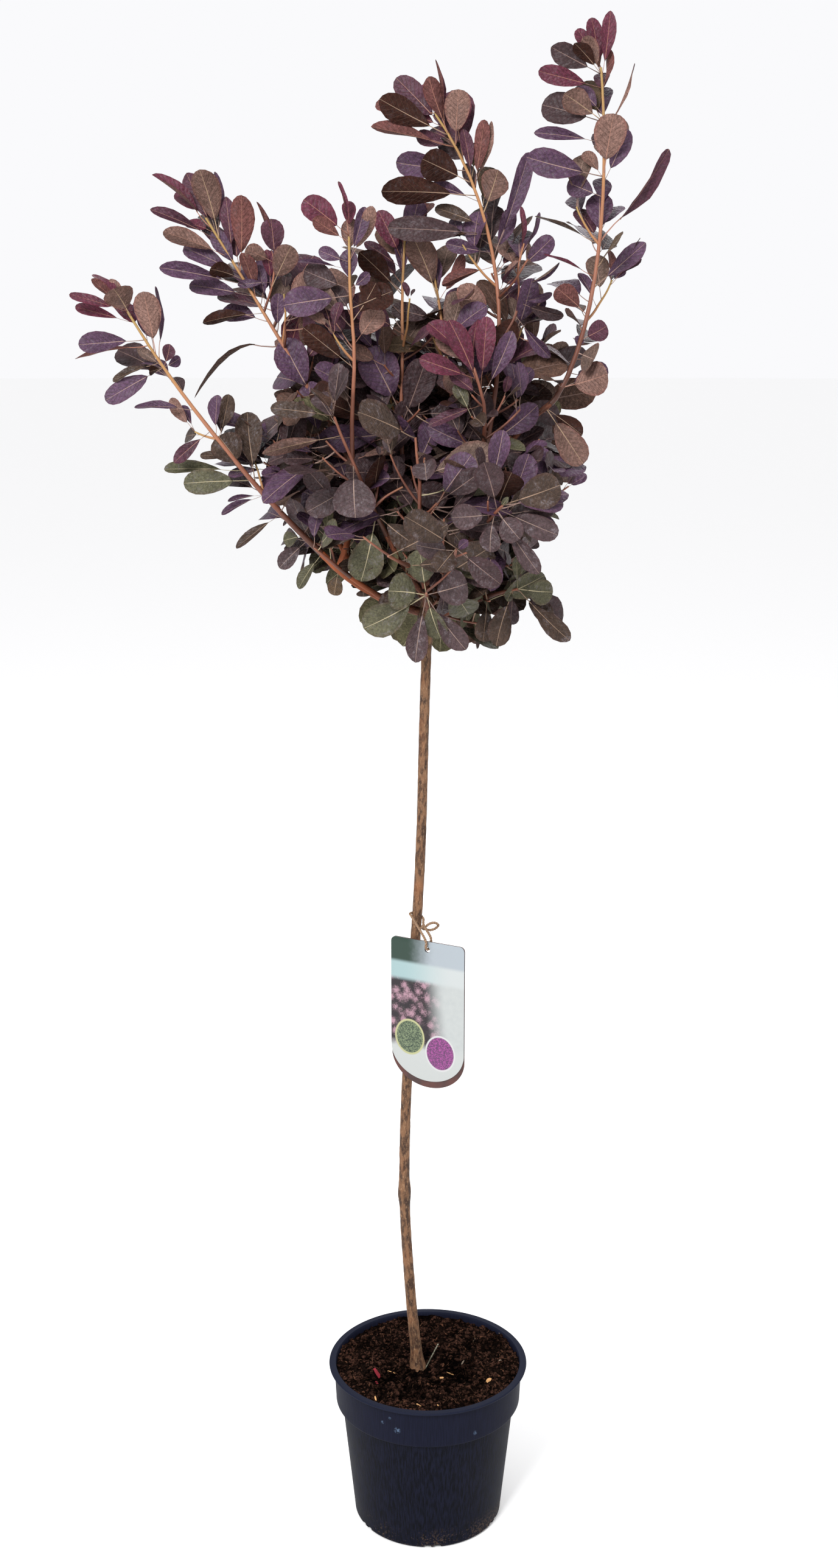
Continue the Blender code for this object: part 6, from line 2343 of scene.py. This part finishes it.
def twine_route():
    """The closed route of the twine round the stem and through the holes."""
    trunk = place_at(LIMBS["trunk"][0], TWINE_HEIGHT)
    wrap = trunk_radius(TWINE_HEIGHT) + TWINE_RADIUS + TWINE_SLACK
    front = LABEL_THICKNESS / 2 + TWINE_RADIUS + 0.0008
    back = -1.5 * LABEL_THICKNESS - CLEARANCE - TWINE_RADIUS - 0.0008
    round_stem = (
        (-wrap * 0.75, -wrap * 0.9, TWINE_RISE * 0.7), (-wrap, 0, TWINE_RISE),
        (0, wrap, TWINE_RISE * 0.8), (wrap, 0, TWINE_RISE * 0.2), (wrap * 1.1, -wrap, -0.004),
    )
    through_holes = (
        (0.0012, 0.003, back - 0.001), (0.0006, -HOLE_DROP + 0.003, back),
        (0, -HOLE_DROP, (front + back) / 2), (-0.0006, -HOLE_DROP + 0.003, front),
        (-0.0012, 0.003, front + 0.0005),
    )
    knots = [trunk + Vector(spot) for spot in round_stem]
    knots += [label_frame(0) @ Vector(spot) for spot in through_holes]
    return round_loop(knots, 24)


def ply(route, phase):
    """A path that winds round the closed route, with its radii and ages."""
    lengths = [0.0]
    for a, b in zip(route, route[1:] + route[:1]):
        lengths.append(lengths[-1] + (b - a).length)
    turns = round(lengths[-1] / TWIST_STEP)
    points = []
    for k, point in enumerate(route):
        way = (route[(k + 1) % len(route)] - route[k - 1]).normalized()
        side = way.cross(Vector((0.2, 0.1, 1))).normalized()
        lift = way.cross(side)
        angle = 2 * math.pi * turns * lengths[k] / lengths[-1] + phase
        points.append(point + (side * math.cos(angle) + lift * math.sin(angle)) * PLY_REACH)
    count = len(points) + 1
    return points + points[:1], [PLY_RADIUS] * count, [1.0] * count


def twine_paint():
    paint = Paint("jute twine")
    hair = paint.noise(1400, 3, 0.7)
    tint = paint.over((84, 60, 44), (paint.step(hair, 0.35, 0.7), (150, 118, 90)),
                      (paint.noise(160, 2) * 0.3, (176, 150, 124)))
    return paint.surface(tint, 0.9, normal=paint.bump(hair, 0.0003))


def knot_routes():
    """The knot as small rings across each other, and the ear that sticks out of it."""
    depth = place_at(LIMBS["trunk"][0], TWINE_HEIGHT).y - trunk_radius(TWINE_HEIGHT) - 0.001
    middle = under_pixel(KNOT_PIXEL, depth)
    ear = [under_pixel(spot, depth - 0.002 * math.sin(k)) for k, spot in enumerate(EAR_PIXELS)]
    routes = [round_loop(ear, 8)]
    for lean in (-35, 40, 90):
        turn = Matrix.Rotation(math.radians(lean), 3, "Y") @ Matrix.Rotation(0.5, 3, "Z")
        ring = [turn @ Vector((KNOT_RADIUS * math.cos(k), KNOT_RADIUS * math.sin(k), 0.0003 * k))
                for k in (0, 1.05, 2.1, 3.15, 4.2, 5.25)]
        routes.append(round_loop([middle + spot for spot in ring], 6))
    return routes


twine_paths = [ply(route, phase) for route in (twine_route(), *knot_routes())
               for phase in (0, math.pi)]
piece = run(RODS, "twine", path_mesh("twine paths", twine_paths), Step=0.0005, Sides=8,
            Relief=0.00008, Grain=(2.0, 2.0, 900.0), Finish=twine_paint())
finish_piece(piece, "twine", "label_twine")

# %% [markdown]
# ## Closing
#
# The size of what is shown must keep to the size of the solids, so both boxes are written down.

# %% Write the sizes and finish
SHOWN_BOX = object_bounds()
for axis, low, high, cad_low, cad_high in zip("xyz", *SHOWN_BOX, *CAD_BOX):
    print(f"{axis}: solids {cad_low:.3f} to {cad_high:.3f}, shown {low:.3f} to {high:.3f}")
